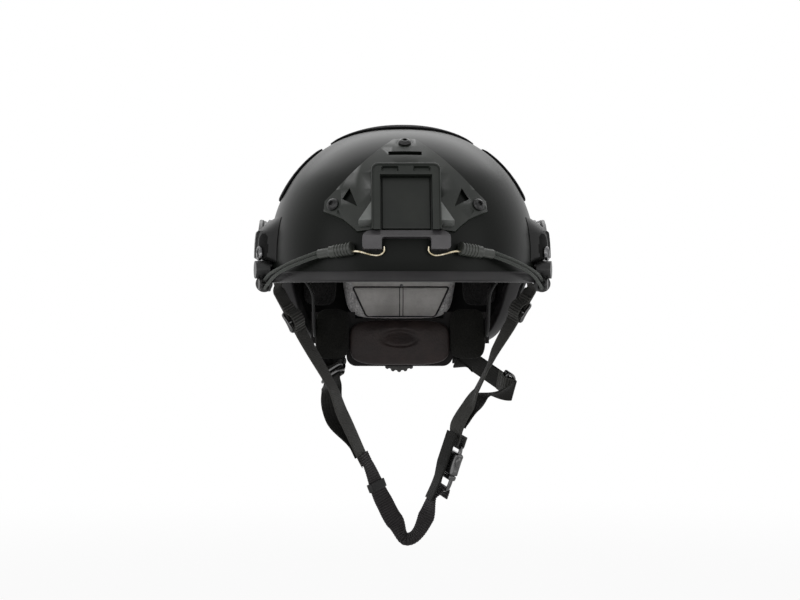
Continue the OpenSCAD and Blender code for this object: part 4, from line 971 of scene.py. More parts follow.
leftKnots = onAnchor(-1) + runKnots(strap["leftRun"], 4) + [
    ((-61, -4, -89), (0.46, 0.1, -0.88), (0.32, 0.94, 0.15), 4),
    ((-50, 4, -117), (0.44, 0.1, -0.9), (0.45, 0.87, 0.22), 5),
    ((-31, 8, -158), (0.45, 0, -0.89), (0.37, 0.91, 0.19), 1)]
rightKnots = onAnchor(1) + runKnots(strap["rightRun"], 5) + [
    ((79, -9, -61), (-0.43, 0.15, -0.89), (-0.2, 0.97, 0.2), 3),
    ((73.5, -6, -74), (-0.42, 0.15, -0.9), (0, 1, 0.1), 3),
    ((63.5, -2.4, -95), (-0.44, 0.15, -0.88), (-0.12, 0.98, 0.03), 2),
    ((57.6, 1, -106.6), (-0.5, 0.1, -0.87), (-0.5, 0.86, 0.05), 4),
    ((48, 4, -124), (-0.36, 0.05, -0.93), (-0.6, 0.8, 0), 4),
    (atBuckle(-turnY, buckle["bar"] / 2 - endZ), buckleDir, buckleAcross, 3),
    (atBuckle(0, turnZ - endZ), buckleFace, buckleAcross, 3),
    (atBuckle(turnY, buckle["bar"] / 2 - endZ), -buckleDir, buckleAcross, 1),
    (atBuckle(turnY, -7 - endZ), -buckleDir, buckleAcross, 1)]
leftLine, rightLine = curveOf(leftKnots, 1), curveOf(rightKnots, 1)
leftLast = len(leftLine[0]) - 1


def laidOn(line, i, lift, steps, turn=1):
    points, ahead, wide = line
    return points[i] / mm + lift * np.cross(ahead[i], wide[i]), ahead[i], turn * wide[i], steps


def loopKnots(side):
    phi, z = bracket["spot"]
    n, t = outward(phi, z * mm), bracket["thick"]
    x, up = acrossAndUp(n)
    plate = skin(phi, z * mm, (bracket["height"] + t / 2) * mm) / mm
    c = plate - (bracket["slotDrop"] + bracket["barDrop"]) * up
    g = 2 * bracket["gap"] + 0.4 + thickMm / 2
    far = bracket["barHalf"] + g
    return mirrored([(c - (t / 2 + bracket["tuck"]) * n + 3 * up, n, -x, 2), (c + far * up, n, -x, 2),
                     (c + (t / 2 + g) * n, -up, -x, 2), (c - far * up, -n, -x, 2),
                     (c - 2 * n - (far + 0.4) * up, -n - 0.3 * up, -x, 5)], side)


rearRightStart, rearRightAhead, _, rearRightLong = strap["rearRightRun"]
rearRightEnd = np.array(rearRightStart) + rearRightLong * unit(rearRightAhead)
foldAhead = np.array([-0.81, -0.564, -0.144])
rearRightKnots = loopKnots(1) + runKnots(strap["rearRightRun"], 3, -1) + [
    (rearRightEnd + 3 * unit(rearRightAhead) + 3 * foldAhead, foldAhead, (0.125, -0.41, 0.903), 4),
    ((81, 40, -98), (-0.8, -0.58, -0.1), (0.55, -0.8, 0.12), 4),
    ((68, 25, -101), (-0.55, -0.6, -0.55), (0.6, -0.75, -0.15), 6),
    laidOn(rightLine, strap["rightJoint"][0][0], lap + 1.3, 2, -1),
    laidOn(rightLine, strap["rightJoint"][0][1], lap, 1, -1)]
rearLeftKnots = loopKnots(-1) + runKnots(strap["rearLeftRun"], 4) + [
    ((-61, 38, -98), (-0.05, -0.65, -0.75), (-0.95, 0.25, -0.15), 4),
    ((-57.5, 21, -118), (0.3, -0.35, -0.88), (-0.9, -0.25, -0.25), 5),
    laidOn(leftLine, leftLast - 2, -lap, 2, -1), laidOn(leftLine, leftLast - 1, -lap, 1, -1)]
chinKnots = [
    laidOn(leftLine, leftLast - 1, lap, 2), laidOn(leftLine, leftLast, lap, 5),
    ((-16, 7, -189), (0.48, 0, -0.87), (0.66, 0.64, 0.38), 5),
    ((-6, 6, -207), (0.62, 0, -0.78), (0.6, 0.6, 0.5), 6),
    ((5, 5, -222.5), (1, 0, 0.05), (0, 0.88, 0.45), 6),
    ((21, 5, -203), (0.4, 0, 0.92), (-0.65, 0.72, 0.25), 5),
    (atBuckle(-6.8, endZ + 7), (0.4, 0, 0.91), (-0.25, 0.95, 0.1), 4),
    (atBuckle(-turnY, endZ - buckle["bar"] / 2), -buckleDir, buckleAcross, 3),
    (atBuckle(0, endZ - turnZ), buckleFace, buckleAcross, 3),
    (atBuckle(turnY, endZ - buckle["bar"] / 2), buckleDir, buckleAcross, 1),
    (atBuckle(turnY, endZ + 5), buckleDir, buckleAcross, 1)]
tailKnots = [
    (atBuckle(-9.4, endZ + 10), (0.42, 0, 0.9), (-0.25, 0.95, 0.1), 4),
    (atBuckle(-7.4, 11), -buckleDir, (-0.3, 0.95, 0), 4),
    (atBuckle(-7.9, -2), -buckleDir, (-0.42, 0.9, 0.05), 2),
    (atBuckle(-7.9, -29), -buckleDir, (-0.42, 0.9, 0.05), 1)]


def tape(name, knots, finish, width=strap["width"], thick=strap["thick"], finer=strap["finer"],
         ribs=None):
    made = sweep(name, curveOf(knots, finer), tapeOutline(width, thick, 10), flat=True, ribs=ribs)
    smooth(made, 60)
    paint(made, finish)
    return made


# Rows of stitches that lie on a strap's face, between two stations of a line. A stitch is a small
# six-sided loft whose rings are (share of its length, share of its thickness).
stitch = {"long": 0.0026, "gap": 0.0012, "thick": 0.00042, "rise": 0.00012, "sink": 0.00012,
          "rings": ((-0.5, 0.35), (-0.36, 1), (0.36, 1), (0.5, 0.35)), "edges": (-0.0078, 0.0078)}


def stitchRow(name, line, side, first, last):
    points, ahead, wide = line
    thick = np.cross(ahead, wide) * side
    run = runOf(points)
    form = bmesh.new()
    for x in stitch["edges"]:
        for s in np.arange(run[first], run[last], stitch["long"] + stitch["gap"]):
            k = min(np.searchsorted(run, s + stitch["long"] / 2), len(points) - 1)
            d, w, n = ahead[k], wide[k], thick[k]
            base = points[k] + x * w + (strap["thick"] / 2 + stitch["rise"]) * n
            loops = []
            for share, r in stitch["rings"]:
                centre = base + share * stitch["long"] * d - stitch["sink"] * (abs(share) > 0.4) * n
                r *= stitch["thick"]
                loops.append([form.verts.new(centre + r * (math.cos(a) * w + 0.6 * math.sin(a) * n))
                              for a in np.linspace(0, 2 * math.pi, 6, endpoint=False)])
            for a, b in zip(loops, loops[1:]):
                for k in range(6):
                    form.faces.new((a[k], a[(k + 1) % 6], b[(k + 1) % 6], b[k]))
            form.faces.new(loops[0][::-1])
            form.faces.new(loops[-1])
    made = bpy.data.meshes.new(name)
    form.to_mesh(made)
    form.free()
    piece = bpy.data.objects.new(name, made)
    bpy.context.scene.collection.objects.link(piece)
    editAll(piece, faceOut)
    settle(piece, "helmet", thread, angle=60)


def buildStraps():
    # The rear straps and the tail take the webbing darkened as painted shade
    for name, node, knots, finish in (("strapFront.left", "front_strap_left", leftKnots, webbingTape),
                                      ("strapFront.right", "front_strap_right", rightKnots, webbingTape),
                                      ("strapRear.left", "rear_strap_left", rearLeftKnots, paintedShadeTape),
                                      ("strapRear.right", "rear_strap_right", rearRightKnots, paintedShadeTape)):
        carry(tape(name, knots, finish), "helmet", node)
    chin = tape("strapChin", chinKnots, chinTape, finer=strap["chinFiner"], ribs=strap["chinRibs"])
    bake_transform(chin)
    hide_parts("chin_strap")
    carry(tape("strapTail", tailKnots, paintedShadeTape), "plug")
    left, right = curveOf(leftKnots, strap["finer"]), curveOf(rightKnots, strap["finer"])
    end = len(left[0]) - 1
    stitchRow("stitchLeft", left, -1, end - strap["leftJoint"], end - 1)
    for k, (first, last) in enumerate(strap["rightJoint"]):
        stitchRow("stitchRight." + str(k), right, 1, first * strap["finer"], last * strap["finer"])


# Head bands from the ear cut's upper edge to the cradle
band = {"spot": (100, 41), "depth": -13.6, "thick": 0.002, "width": 0.016, "wingX": 76, "wingFront": 64,
        "wingBack": 90, "tail": -41, "travel": 20}


def buildBands():
    top, down, along = inShell(band["spot"], band["depth"])
    x, front, back, z = band["wingX"], band["wingFront"] - band["travel"], band["wingBack"], band["tail"]
    knots = [(top - 8 * down, down, along, 2), (top + 10 * down, down, along, 8),
             ((x + 1, 31, -13), (-0.05, 0.25, -0.97), (0, 0.97, 0.25), 8),
             ((x, front - 1, z), (0, 1, 0), (0, 0, 1), 4), ((x, back - 4, z), (0, 1, 0), (0, 0, 1), 1)]
    for name, side in bothSides:
        made = tape("headBand." + name, mirrored(knots, side), bandPlastic, band["width"], band["thick"])
        carry(made, "helmet", "head_band_" + name)


buildStraps()
buildBands()
print("webbing built")


# Bungees: a cord from each ferrule round the anchor's post and back
bungee = {"height": 7.5, "turn": 3.3, "diameter": 0.0028, "start": (28.8, 20.3), "cleat": (65.5, -3.2),
          "hook": (17, 24), "ferrule": 0.011, "ribs": 6, "ribPitch": 0.0027, "wire": 0.0017, "wireX": 19.2}


def bungeeCord(t, lift):
    a, b = bungee["start"], bungee["cleat"]
    return skin(mix(a[0], b[0] - 4, t), (mix(a[1], b[1] + 2.4, t) + lift) * mm, bungee["height"] * mm)


def bungeePath():
    t = np.linspace(0, 1, 19)
    lift = mix(1.65, bungee["turn"], ease(t * 2 - 1))
    phi, z = bungee["cleat"]
    centre, n = skin(phi, z * mm, bungee["height"] * mm), outward(phi, z * mm)
    x, y = acrossAndUp(n)
    turn = [centre + bungee["turn"] * mm * (math.cos(a) * x + math.sin(a) * y)
            for a in np.radians(np.linspace(90, -90, 11))]
    return np.concatenate([bungeeCord(t, lift), turn, bungeeCord(t[::-1], -lift[::-1])])


def smoothPath(points, times):
    for _ in range(times):
        inner = (points[:-1] * 0.75 + points[1:] * 0.25, points[:-1] * 0.25 + points[1:] * 0.75)
        points = np.concatenate([points[:1], np.stack(inner, 1).reshape(-1, 3), points[-1:]])
    return points


def ferruleProfile(far):
    r, neck = bungee["ferrule"] / 2, far * 0.6
    rows = [(0, 0.0012), (0, r - 0.0011), (0.0003, r - 0.0006)]
    for k in range(bungee["ribs"]):
        at = 0.0004 + k * bungee["ribPitch"]
        rows += [(at, r - 0.0006), (at + 0.0002, r - 0.0001), (at + 0.0005, r), (at + 0.0012, r),
                 (at + 0.0015, r - 0.0001), (at + 0.0017, r - 0.0006)]
    return rows + [(neck + 0.001, r - 0.0006), (neck + 0.0018, r - 0.0012), (neck + 0.003, r - 0.0016),
                   (far - 0.0009, r - 0.0016), (far - 0.0005, r - 0.0018), (far - 0.0003, r - 0.0022),
                   (far - 0.0003, 0.0012)]


def buildBungees():
    path = bungeePath()
    start = skin(bungee["hook"][0], (bungee["hook"][1] + 0.5) * mm, bungee["height"] * mm)
    end = skin(bungee["start"][0], bungee["start"][1] * mm, bungee["height"] * mm)
    ahead = unit(end - start)
    path = np.concatenate([[path[0] - 0.004 * ahead], path, [path[-1] - 0.004 * ahead]])
    root = start / mm - 2.6 * squareTo((0, 0, 1), ahead)
    x, y, z = bungee["wireX"], -shell["front"] / mm - bungee["height"] + 0.6, bungee["hook"][1] - 4.6
    knots = [(root + 6 * ahead, -ahead, (0, 0, 1), 2), (root, -ahead, (0, 0, 1), 6),
             ((x + 4, y, z - 0.3), (-1, 0, 0), (0, 0, 1), 5),
             ((x - 1.6, y, z + 4.2), (0.05, 0, 1), (1, 0, 0), 2),
             ((x - 1.4, y, z + 6.6), (0.05, 0, 1), (1, 0, 0), 1)]
    hook = curveOf(knots, 4)
    for name, side in bothSides:
        body = "bungee_" + name
        line = lineOf(flipped(smoothPath(path, 2), side), (0.0, -1.0, 0.02))
        cord = sweep("bungeeCord." + name, line, circleOutline(bungee["diameter"] / 2, 16))
        settle(cord, body, bungeeBraid, angle=60, node="bungee_" + name)
        profile = ferruleProfile(np.linalg.norm(end - start))
        made = lathe("ferrule.shape." + name, profile, flipped(start, side), flipped(ahead, side), (0, 0, 1))
        settle(made, body, ferruleRubber, angle=35, node="ferrule_" + name)
        bent = [flipped(v, side) for v in hook]
        wire = sweep("hookWire.shape." + name, bent, circleOutline(bungee["wire"] / 2, 16))
        settle(wire, body, hookWire, angle=60, node="hook_" + name)


buildBungees()
print("bungees built")


# Hard parts: the CAD nodes' own shapes, each with its rounding, its segments and its finish. A star stands
# for left and right. The plain parts keep their CAD shapes.
hardParts = {"shroud_screws": (0.0004, 3, blackScrew), "bungee_bridge": (0.0016, 4, bridgePlastic),
             "rail_*": (0.0008, 3, railPlastic), "rail_screws_*": (0.0004, 3, wornSteel),
             "bungee_anchor_*": (0.0018, 4, railPlastic), "nape_bracket_*": (0.0004, 2, blackScrew),
             "nape_bracket_screws": (0.0003, 2, wornSteel), "harness_bolts": (0.0003, 2, blackScrew),
             "nape_cradle": (0.0008, 3, cradlePlastic), "cradle_cover": (0.0010, 3, cradlePlastic),
             "dial_knob": (0.0005, 2, dialRubber)}
plainParts = {"shroud_nuts": wornSteel, "rail_nuts": wornSteel, "pad_discs": loopPile, "dial_axle": wornSteel,
              "dial_pinion": wornSteel, "rack_left": bandPlastic, "rack_right": bandPlastic}
for nodes, (edge, segments, finish) in hardParts.items():
    for node in sorted({nodes.replace("*", name) for name, _ in bothSides}):
        dressed(node, edge, finish, segments)
for node, finish in plainParts.items():
    paint(frame["nodes"][node], finish)


# The shroud: the plate's own shape with its block cut away, and on it a frame like an upturned U with a
# rounded lip, a bed in its window, and a gusset on each side painted pale as a highlight. Places are in the
# forehead's plane.
shroud = {"spot": 62.5, "half": 27.7, "tall": 29.5, "round": 5.5, "window": 20.6, "windowTop": 19.5,
          "around": 190, "sink": -3, "bed": (0, -4, 19.6, 23, 2.2, 5.6), "aboveBridge": 38.9,
          "slots": (6.5, 19, 22.6, 26.4, 2.4),
          "cut": ((0, 0, 28.6, 30, 3.7, 14), (33, -7, 5.5, 10.2, 0.3, 14), (-33, -7, 5.5, 10.2, 0.3, 14)),
          "footCut": (28.6, 30.1, 3.5, 3.5, -3.3, 14, 45),
          "gusset": ((27.5, -3.2, 7.6), (27.5, -21, 9.6), (38.2, -21, 8.4)), "gussetSink": -4}
foreheadTop = skin(0, shroud["spot"] * mm, 0)
foreheadOut = outward(0, shroud["spot"] * mm)
foreheadAcross = np.array([1, 0, 0])
foreheadUp = np.cross(foreheadOut, foreheadAcross)


def onForehead(x, y, h):
    x, y, h = (np.asarray(v, float)[..., None] * mm for v in np.broadcast_arrays(x, y, h))
    return foreheadTop + x * foreheadAcross + y * foreheadUp + h * foreheadOut


# A block by its middle and its halves, from a low to a high face, and turned in the plane
def foreheadBlock(name, x, y, halfX, halfY, low, high, turn=0):
    piece = begin(name, bpy.ops.mesh.primitive_cube_add, size=2)
    c, s = math.cos(math.radians(turn)), math.sin(math.radians(turn))
    corners = pointsOf(piece) * np.array([halfX, halfY, 1])
    flat = corners[:, :2] @ np.array([[c, s], [-s, c]]) + np.array([x, y])
    putPoints(piece, onForehead(flat[:, 0], flat[:, 1], np.where(corners[:, 2] > 0, high, low)))
    editAll(piece, faceOut)
    return piece


# The frame's outer line with its two rounded corners, and the window's line that goes with it
def framePath(v):
    half, tall, r = shroud["half"], shroud["tall"], shroud["round"]
    window, top = shroud["window"], shroud["windowTop"]
    side, arc, across = 2 * tall - r, r * math.pi / 2, 2 * (half - r)
    s = np.minimum(v, 1 - v) * (2 * side + 2 * arc + across)
    turn = np.clip((s - side) / arc, 0, 1) * math.pi / 2
    beyond = np.clip(s - side - arc, 0, None)
    mirror = np.where(v < 0.5, -1, 1)
    x = (half - r) + r * np.cos(turn) - beyond
    y = np.minimum(s, side) - tall + r * np.sin(turn)
    inX = np.minimum(window, window * x / (half - r))
    inY = np.where(s < side, np.minimum(y, top), top)
    return mirror * x, y, mirror * inX, inY


def buildFrame():
    # Each point is (share of the way from the outer line to the window, height)
    profile = [(0, shroud["sink"]), (0, 9.9), (0.015, 10.5), (0.05, 10.9), (0.09, 11), (0.13, 10.9),
               (0.165, 10.5), (0.185, 9.9), (0.2, 9.6)] + [(s, 9.6) for s in np.linspace(0.26, 0.9, 12)] \
        + [(0.96, 9.4), (0.99, 9.0), (1, 8.4), (1, shroud["sink"])]
    shares, heights = (np.array(p) for p in zip(*profile))
    last = len(profile) - 1
    x1, x2, y1, y2, deep = shroud["slots"]

    def place(u, v):
        i = rowAt(u, last)
        x, y, inX, inY = framePath(v)
        px, py, h = mix(x, inX, shares[i]), mix(y, inY, shares[i]), heights[i]
        h = h - deep * ((np.abs(px) > x1) & (np.abs(px) < x2) & (py > y1) & (py < y2) & (h > 9))
        foot = (shroud["aboveBridge"] - shroud["spot"] - h * foreheadOut[2]) / foreheadUp[2]
        return onForehead(px, np.maximum(py, foot), h)
    settle(wrapGrid("shroudFrame", last, shroud["around"], place), "helmet", shroudPlastic, angle=35)
    bed = foreheadBlock("shroudBed", *shroud["bed"])
    modify(bed, "BEVEL", width=0.0012, segments=3)
    settle(bed, "helmet", insertPlastic, node="shroud_insert")


def buildGussets():
    for name, side in bothSides:
        piece = begin("gusset." + name, bpy.ops.mesh.primitive_cylinder_add, vertices=3, radius=1, depth=2)
        bearings = [round(math.atan2(y, x), 3) for x, y, _ in pointsOf(piece)]
        order = sorted(set(bearings))
        corners = []
        for bearing, point in zip(bearings, pointsOf(piece)):
            x, y, h = shroud["gusset"][order.index(bearing)]
            corners.append(onForehead(side * x, y, h if point[2] > 0 else shroud["gussetSink"]))
        putPoints(piece, corners)
        editAll(piece, faceOut)
        modify(piece, "BEVEL", width=0.0004, segments=3, limit_method="ANGLE", angle_limit=math.radians(20))
        # The gussets' pale finish is a painted highlight
        settle(piece, "helmet", gussetPaintedLight)


def buildShroud():
    x, *foot = shroud["footCut"]
    blocks = [foreheadBlock("cut", *cut) for cut in (*shroud["cut"], (-x, *foot), (x, *foot))]
    dressed("shroud_plate", 0.0006, shroudPlastic, 3, blocks)
    buildFrame()
    buildGussets()


buildShroud()


# A rounded tail under each rail's front, behind the post that the bungee turns on
railTail = {"middle": (0.1166, -0.0432, -0.0026), "radius": 7.2, "thick": 2.2}


def buildTails():
    r, t = railTail["radius"], railTail["thick"]
    profile = [(-t, 0.2), (-t, r - 1.2), (-t + 0.4, r - 0.4), (-t + 1.2, r), (t - 1.2, r), (t - 0.4, r - 0.4),
               (t, r - 1.2), (t, 0.2)]
    for name, side in bothSides:
        spot = flipped(railTail["middle"], side)
        made = lathe("railTail." + name, np.array(profile) * mm, spot, (0, 1, 0), (0, 0, 1), 36)
        settle(made, "helmet", railPlastic, angle=50)


buildTails()


# Smooth noses over the front ends of the rails, each with a roof facet, a recess and a ringed eyelet
nose = {"bearings": (59.5, 73.5, 86), "heights": (0.0155, 0.0525), "roof": 0.0135, "rise": 0.0128,
        "across": 44, "along": 36, "eyelet": (69.3, 0.0225, 0.0108), "turned": 60, "ring": (0.0044, 0.0062),
        "recess": (69.5, 0.0265, 4.2, 0.0135, 0.0016), "wall": 0.0011}


def inRecess(phi, z):
    x, y, halfX, halfY, _ = nose["recess"]
    return 1 - np.abs((phi - x) / halfX) ** 3 - np.abs((z - y) / halfY) ** 3


def noseHeight(phi, z):
    first, full, last = nose["bearings"]
    low, top = nose["heights"]
    front = np.clip((phi - first) / (full - first), 0, 1)
    front = 1 - (1 - front) ** 1.7
    roof = np.clip((top - z) / nose["roof"], 0, 1)
    floor = np.sqrt(np.clip((z - low) / 0.004, 0, 1))
    back = np.clip((last - phi) / 2.0, 0, 1)
    return 0.0004 + nose["rise"] * front * roof * floor * back - nose["recess"][4] * (inRecess(phi, z) > 0)


def buildNoses():
    first, _, last = nose["bearings"]
    low, top = nose["heights"]
    inner, outer = nose["ring"]
    ringProfile = [(-0.001, inner), (0.0006, inner), (0.0012, mix(inner, outer, 0.3)),
                   (0.0012, mix(inner, outer, 0.7)), (0.0006, outer), (-0.001, outer), (-0.001, inner)]
    wellProfile = [(-0.0004, 0.0002), (-0.0004, inner + 0.0002), (0.0004, inner + 0.0002),
                   (0.0002, inner * 0.6), (0.0001, 0.0002)]
    for name, side in bothSides:
        def place(u, v):
            phi, z = mix(first, last, u), mix(low, top, v)
            return flipped(skin(phi, z, noseHeight(phi, z)), side)
        made = wrapGrid("railNose." + name, nose["across"], nose["along"], place, closed=False)
        modify(made, "SOLIDIFY", thickness=nose["wall"], offset=-1 if side > 0 else 1)
        editAll(made, faceOut)
        settle(made, "helmet", nosePlastic, liningPaint, angle=28)
        for face in made.data.polygons:
            x, y, z = face.center
            if inRecess(math.degrees(math.atan2(abs(x), -y)) + 1.5, z) > 0.1:
                face.material_index = 1
        phi, z, h = nose["eyelet"]
        spot, out = flipped(skin(phi, z, h), side), flipped(outward(nose["turned"], z), side)
        ring = lathe("noseRing." + name, ringProfile, spot, out, (0, 0, 1), 40)
        settle(ring, "helmet", wornSteel, angle=50)
        well = lathe("noseWell." + name, wellProfile, spot, out, (0, 0, 1), 32)
        settle(well, "helmet", liningPaint, angle=50)


# Sliders: a rounded loop whose ends dip behind the webbing, a bar in front, and a fold of webbing over it
slider = {"bar": 3, "gap": 0.4, "wire": 1.55, "lift": 2.15, "fold": 3.1, "foldLow": 0.95, "foldThick": 0.0013}
sliders = {"slider_front_left": ("leftRun", 27, 20, 1), "slider_front_right": ("rightRun", 19, 20, -1),
           "slider_rear_left": ("rearLeftRun", 20, 16, 1), "slider_rear_right": ("rearRightRun", 47, 16, -1)}


def buildSliders():
    lift, r = slider["lift"], slider["wire"]
    halfW = strap["width"] / mm / 2 + slider["gap"] + 0.3 + r
    for node, (run, at, size, facing) in sliders.items():
        start, ahead, wide, _ = strap[run]
        d = unit(ahead)
        w = facing * squareTo(wide, d)
        t = np.cross(d, w)
        centre = np.array(start, float) + at * d
        halfD = (size - slider["bar"]) / 2
        c, s = roundCorner(np.linspace(0, 2 * math.pi, 56, endpoint=False), 4.5)
        ring = centre + np.outer(halfW * c, w) + np.outer(halfD * s, d) - np.outer(lift * np.abs(s) ** 3, t)
        loop = sweep(node + ".loop", lineOf(ring * mm, t, ring=True), circleOutline(r * mm, 12), ring=True)
        x = np.linspace(-halfW, halfW, 22)
        bar = centre + np.outer(x, w) + np.outer(lift * (1 - np.abs(x / halfW) ** 6), t)
        middle = sweep(node + ".bar", lineOf(bar * mm, t), circleOutline(r * mm, 12))
        select(loop, middle)
        bpy.ops.object.join()
        settle(loop, node, bucklePlastic, angle=60, node=node)
        y = np.linspace(-halfD - 5, halfD + 3.5, 40)
        high = slider["foldLow"] + slider["fold"] * np.exp(-(y / (0.33 * size)) ** 4)
        line = lineOf((centre + np.outer(y, d) + np.outer(high, t)) * mm, w)
        outline = tapeOutline(strap["width"] - 0.0004, slider["foldThick"], 10)
        settle(sweep(node + ".fold", line, outline, flat=True), node, ribbedTape, angle=60)


# Side-release buckle: rounded shells, a loop for the webbing at each end, and the plug's prongs
buckleForm = {"wide": 29, "thick": 9, "socket": (-14, 5.3), "wall": 1.5, "mouth": 3.5, "neck": 5.8,
              "shoulder": 4.4, "loop": 1.75, "loopHalf": 11.6, "loopEnd": 20.4, "prong": (10.3, 5.2),
              "prongHalf": (1.6, 2.2), "guideHalf": 2, "button": (13.7, -7, 1.5, 2.4, 4.6)}


def inBuckle(x, y, z):
    x, y, z = (np.asarray(v, float)[..., None] for v in np.broadcast_arrays(x, y, z))
    return (np.array(buckle["middle"]) + x * buckleAcross + y * buckleFace + z * buckleDir) * mm


def buckleLoft(name, rows, q=4.5, sides=56, centre=0):
    z, halfX, halfY = (np.array(column, float) for column in zip(*rows))
    last = len(rows) - 1

    def place(u, v):
        i = rowAt(v, last)
        c, s = roundCorner(2 * np.pi * (u % 1), q)
        return inBuckle(centre + halfX[i] * c, halfY[i] * s, z[i])
    return wrapGrid(name, sides, last, place)


def endRows(z, out, halfX, halfY, r):
    return [(z - out * r * (1 - math.sin(a)), halfX - r * (1 - math.cos(a)), halfY - r * (1 - math.cos(a)))
            for a in np.radians((90, 66, 44, 22, 0))]


def buckleLoop(name, base, side):
    c, s = roundCorner(np.linspace(math.pi, 0, 40), 3.6)
    points = inBuckle(buckleForm["loopHalf"] * c, 0, base + side * (buckleForm["loopEnd"] - abs(base)) * s)
    return sweep(name, lineOf(points, buckleFace), circleOutline(buckleForm["loop"] * mm, 16))


def joined(name, *pieces):
    select(*pieces)
    bpy.ops.object.join()
    pieces[0].name = pieces[0].data.name = name
    editAll(pieces[0], faceOut)
    return pieces[0]


def buildBuckle():
    x, y = buckleForm["wide"] / 2, buckleForm["thick"] / 2
    first, last = buckleForm["socket"]
    wall, mouth = buckleForm["wall"], buckleForm["mouth"]
    waist = [(mix(first, last, t), x - 1.1 * math.sin(math.pi * t), y + 0.3 * math.sin(math.pi * t))
             for t in np.linspace(0.2, 0.8, 9)]
    inside = [(last, x - wall, y - wall), (last - mouth, x - wall - 0.3, y - wall),
              (first + 4, x - wall - 0.6, y - wall)]
    outside = endRows(first, -1, x, y, 2.4) + waist + endRows(last, 1, x, y, 1.0)[::-1]
    body = buckleLoft("socketBody", outside + inside)
    socket = joined("buckleSocket", body, buckleLoop("socketLoop", first + 2, -1))
    settle(socket, bodyOf["buckle_socket"], bucklePlastic, angle=50, node="buckle_socket")
    low = buckleForm["neck"]
    high = low + buckleForm["shoulder"]
    rows = endRows(low, -1, x, y - 0.5, 1.2) + endRows(high, 1, x - 0.4, y - 0.5, 1.6)[::-1]
    parts = [buckleLoft("plugBody", rows), buckleLoop("plugLoop", high - 1.5, 1)]
    prongX, prongEnd = buckleForm["prong"]
    halfX, halfY = buckleForm["prongHalf"]
    tip = low - prongEnd - 11.5
    for name, centre, wide, end in (("prongLeft", -prongX, halfX, tip), ("prongRight", prongX, halfX, tip),
                                    ("guide", 0, buckleForm["guideHalf"], tip + 3)):
        rows = endRows(end, -1, wide, halfY, 0.9) + [(low + 1, wide, halfY)]
        parts.append(buckleLoft(name, rows, 4, 24, centre))
    centre, z, wide, thick, long = buckleForm["button"]
    for name, side in bothSides:
        rows = [(z + long * math.sin(a), wide * math.cos(a) + 0.02, thick * math.cos(a) + 0.02)
                for a in np.radians(np.linspace(-90, 90, 13))]
        parts.append(buckleLoft("button." + name, rows, 2.6, 24, side * centre))
    plug = joined("bucklePlug", *parts)
    settle(plug, bodyOf["buckle_plug"], bucklePlastic, angle=50, node="buckle_plug")


# The keeper is a flat rubber ring close round the chin strap
keeper = {"station": 5, "room": 0.85, "wide": 7.4, "thick": 1.1}


def buildKeeper():
    point, ahead, wide = (column[keeper["station"]] for column in curveOf(chinKnots, 1))
    c, s = roundCorner(np.linspace(0, 2 * math.pi, 64, endpoint=False), 9)
    halfW, halfT = (strap[key] / 2 + keeper["room"] * mm for key in ("width", "thick"))
    ring = point + np.outer(halfW * c, wide) + np.outer(halfT * s, np.cross(ahead, wide))
    made = sweep("strapKeeper", lineOf(ring, ahead, ring=True),
                 tapeOutline(keeper["wide"] * mm, keeper["thick"] * mm, 6), ring=True)
    settle(made, "helmet", keeperRubber, angle=50, node="strap_keeper")


buildNoses()
buildSliders()
buildBuckle()
buildKeeper()
print("hard parts finished")


# A pale floor under the helmet, pale surroundings, and soft lamps
studio = {"floorDrop": 0.32, "floorSize": 12, "white": 1.0, "world": 0.33, "glowNear": 0.9,
          "clearFrom": (0.6, 1.5),
          "lamps": [("top", (0, 1.1, 1.35), (2.2, 1.3), 16), ("left", (-1.9, -1.4, 0.3), (1.4, 1.6), 11),
                    ("right", (1.9, -1.4, 0.3), (1.4, 1.6), 8), ("front", (0, -2.4, -0.5), (2.6, 1.6), 17)]}


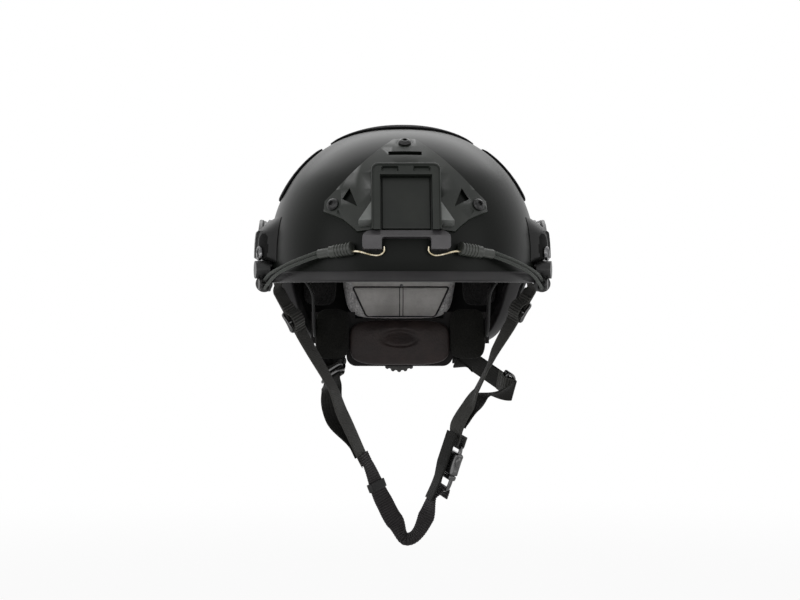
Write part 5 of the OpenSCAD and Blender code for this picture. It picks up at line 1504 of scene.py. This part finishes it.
def paleSurface(name, lit, rays):
    f = Finish(name)
    seen = f.node("LightPath", out="Is Camera Ray")
    path = seen.socket.node
    for ray in rays:
        seen = seen.math("MAXIMUM", Wire(f, path.outputs[ray]))
    glow = f.node("Emission", None, {"Color": (1, 1, 1, 1), "Strength": studio["white"]})
    body = f.node("BsdfDiffuse", None, {"Color": (*lit, 1)})
    away = f.node("VectorMath", {"operation": "LENGTH"}, {0: f.place}, out="Value")
    share = away.between(*studio["clearFrom"]) * (1 - studio["glowNear"]) + studio["glowNear"]
    return f.shows(f.node("MixShader", None, {0: seen * share, 1: body, 2: glow}))


def buildStudio():
    floor = begin("floor", bpy.ops.mesh.primitive_plane_add, size=studio["floorSize"],
                  location=(0, 0, -studio["floorDrop"]))
    paint(floor, paleSurface("paleFloor", (0.8, 0.8, 0.8), ["Is Glossy Ray", "Is Transmission Ray"]))
    world = bpy.data.worlds.new("paleRoom")
    bpy.context.scene.world = world
    world.use_nodes = True
    tree = world.node_tree
    ground = tree.nodes["Background"]
    path = tree.nodes.new("ShaderNodeLightPath")
    level = tree.nodes.new("ShaderNodeMapRange")
    level.inputs["To Min"].default_value = studio["world"]
    level.inputs["To Max"].default_value = studio["white"]
    seen = path.outputs["Is Camera Ray"]
    for ray in ("Is Glossy Ray", "Is Transmission Ray"):
        either = tree.nodes.new("ShaderNodeMath")
        either.operation = "MAXIMUM"
        tree.links.new(seen, either.inputs[0])
        tree.links.new(path.outputs[ray], either.inputs[1])
        seen = either.outputs[0]
    tree.links.new(seen, level.inputs["Value"])
    tree.links.new(level.outputs["Result"], ground.inputs["Strength"])
    ground.inputs["Color"].default_value = (1, 1, 1, 1)
    for name, place, size, power in studio["lamps"]:
        lamp = begin("lamp." + name, bpy.ops.object.light_add, type="AREA", location=place)
        lamp.data.shape = "RECTANGLE"
        lamp.data.size, lamp.data.size_y = size
        lamp.data.energy = power
        lamp.rotation_mode = "QUATERNION"
        lamp.rotation_quaternion = (-Vector(place)).to_track_quat("-Z", "Y")


buildStudio()
bpy.context.scene.view_settings.view_transform = "Standard"
print("studio lit")
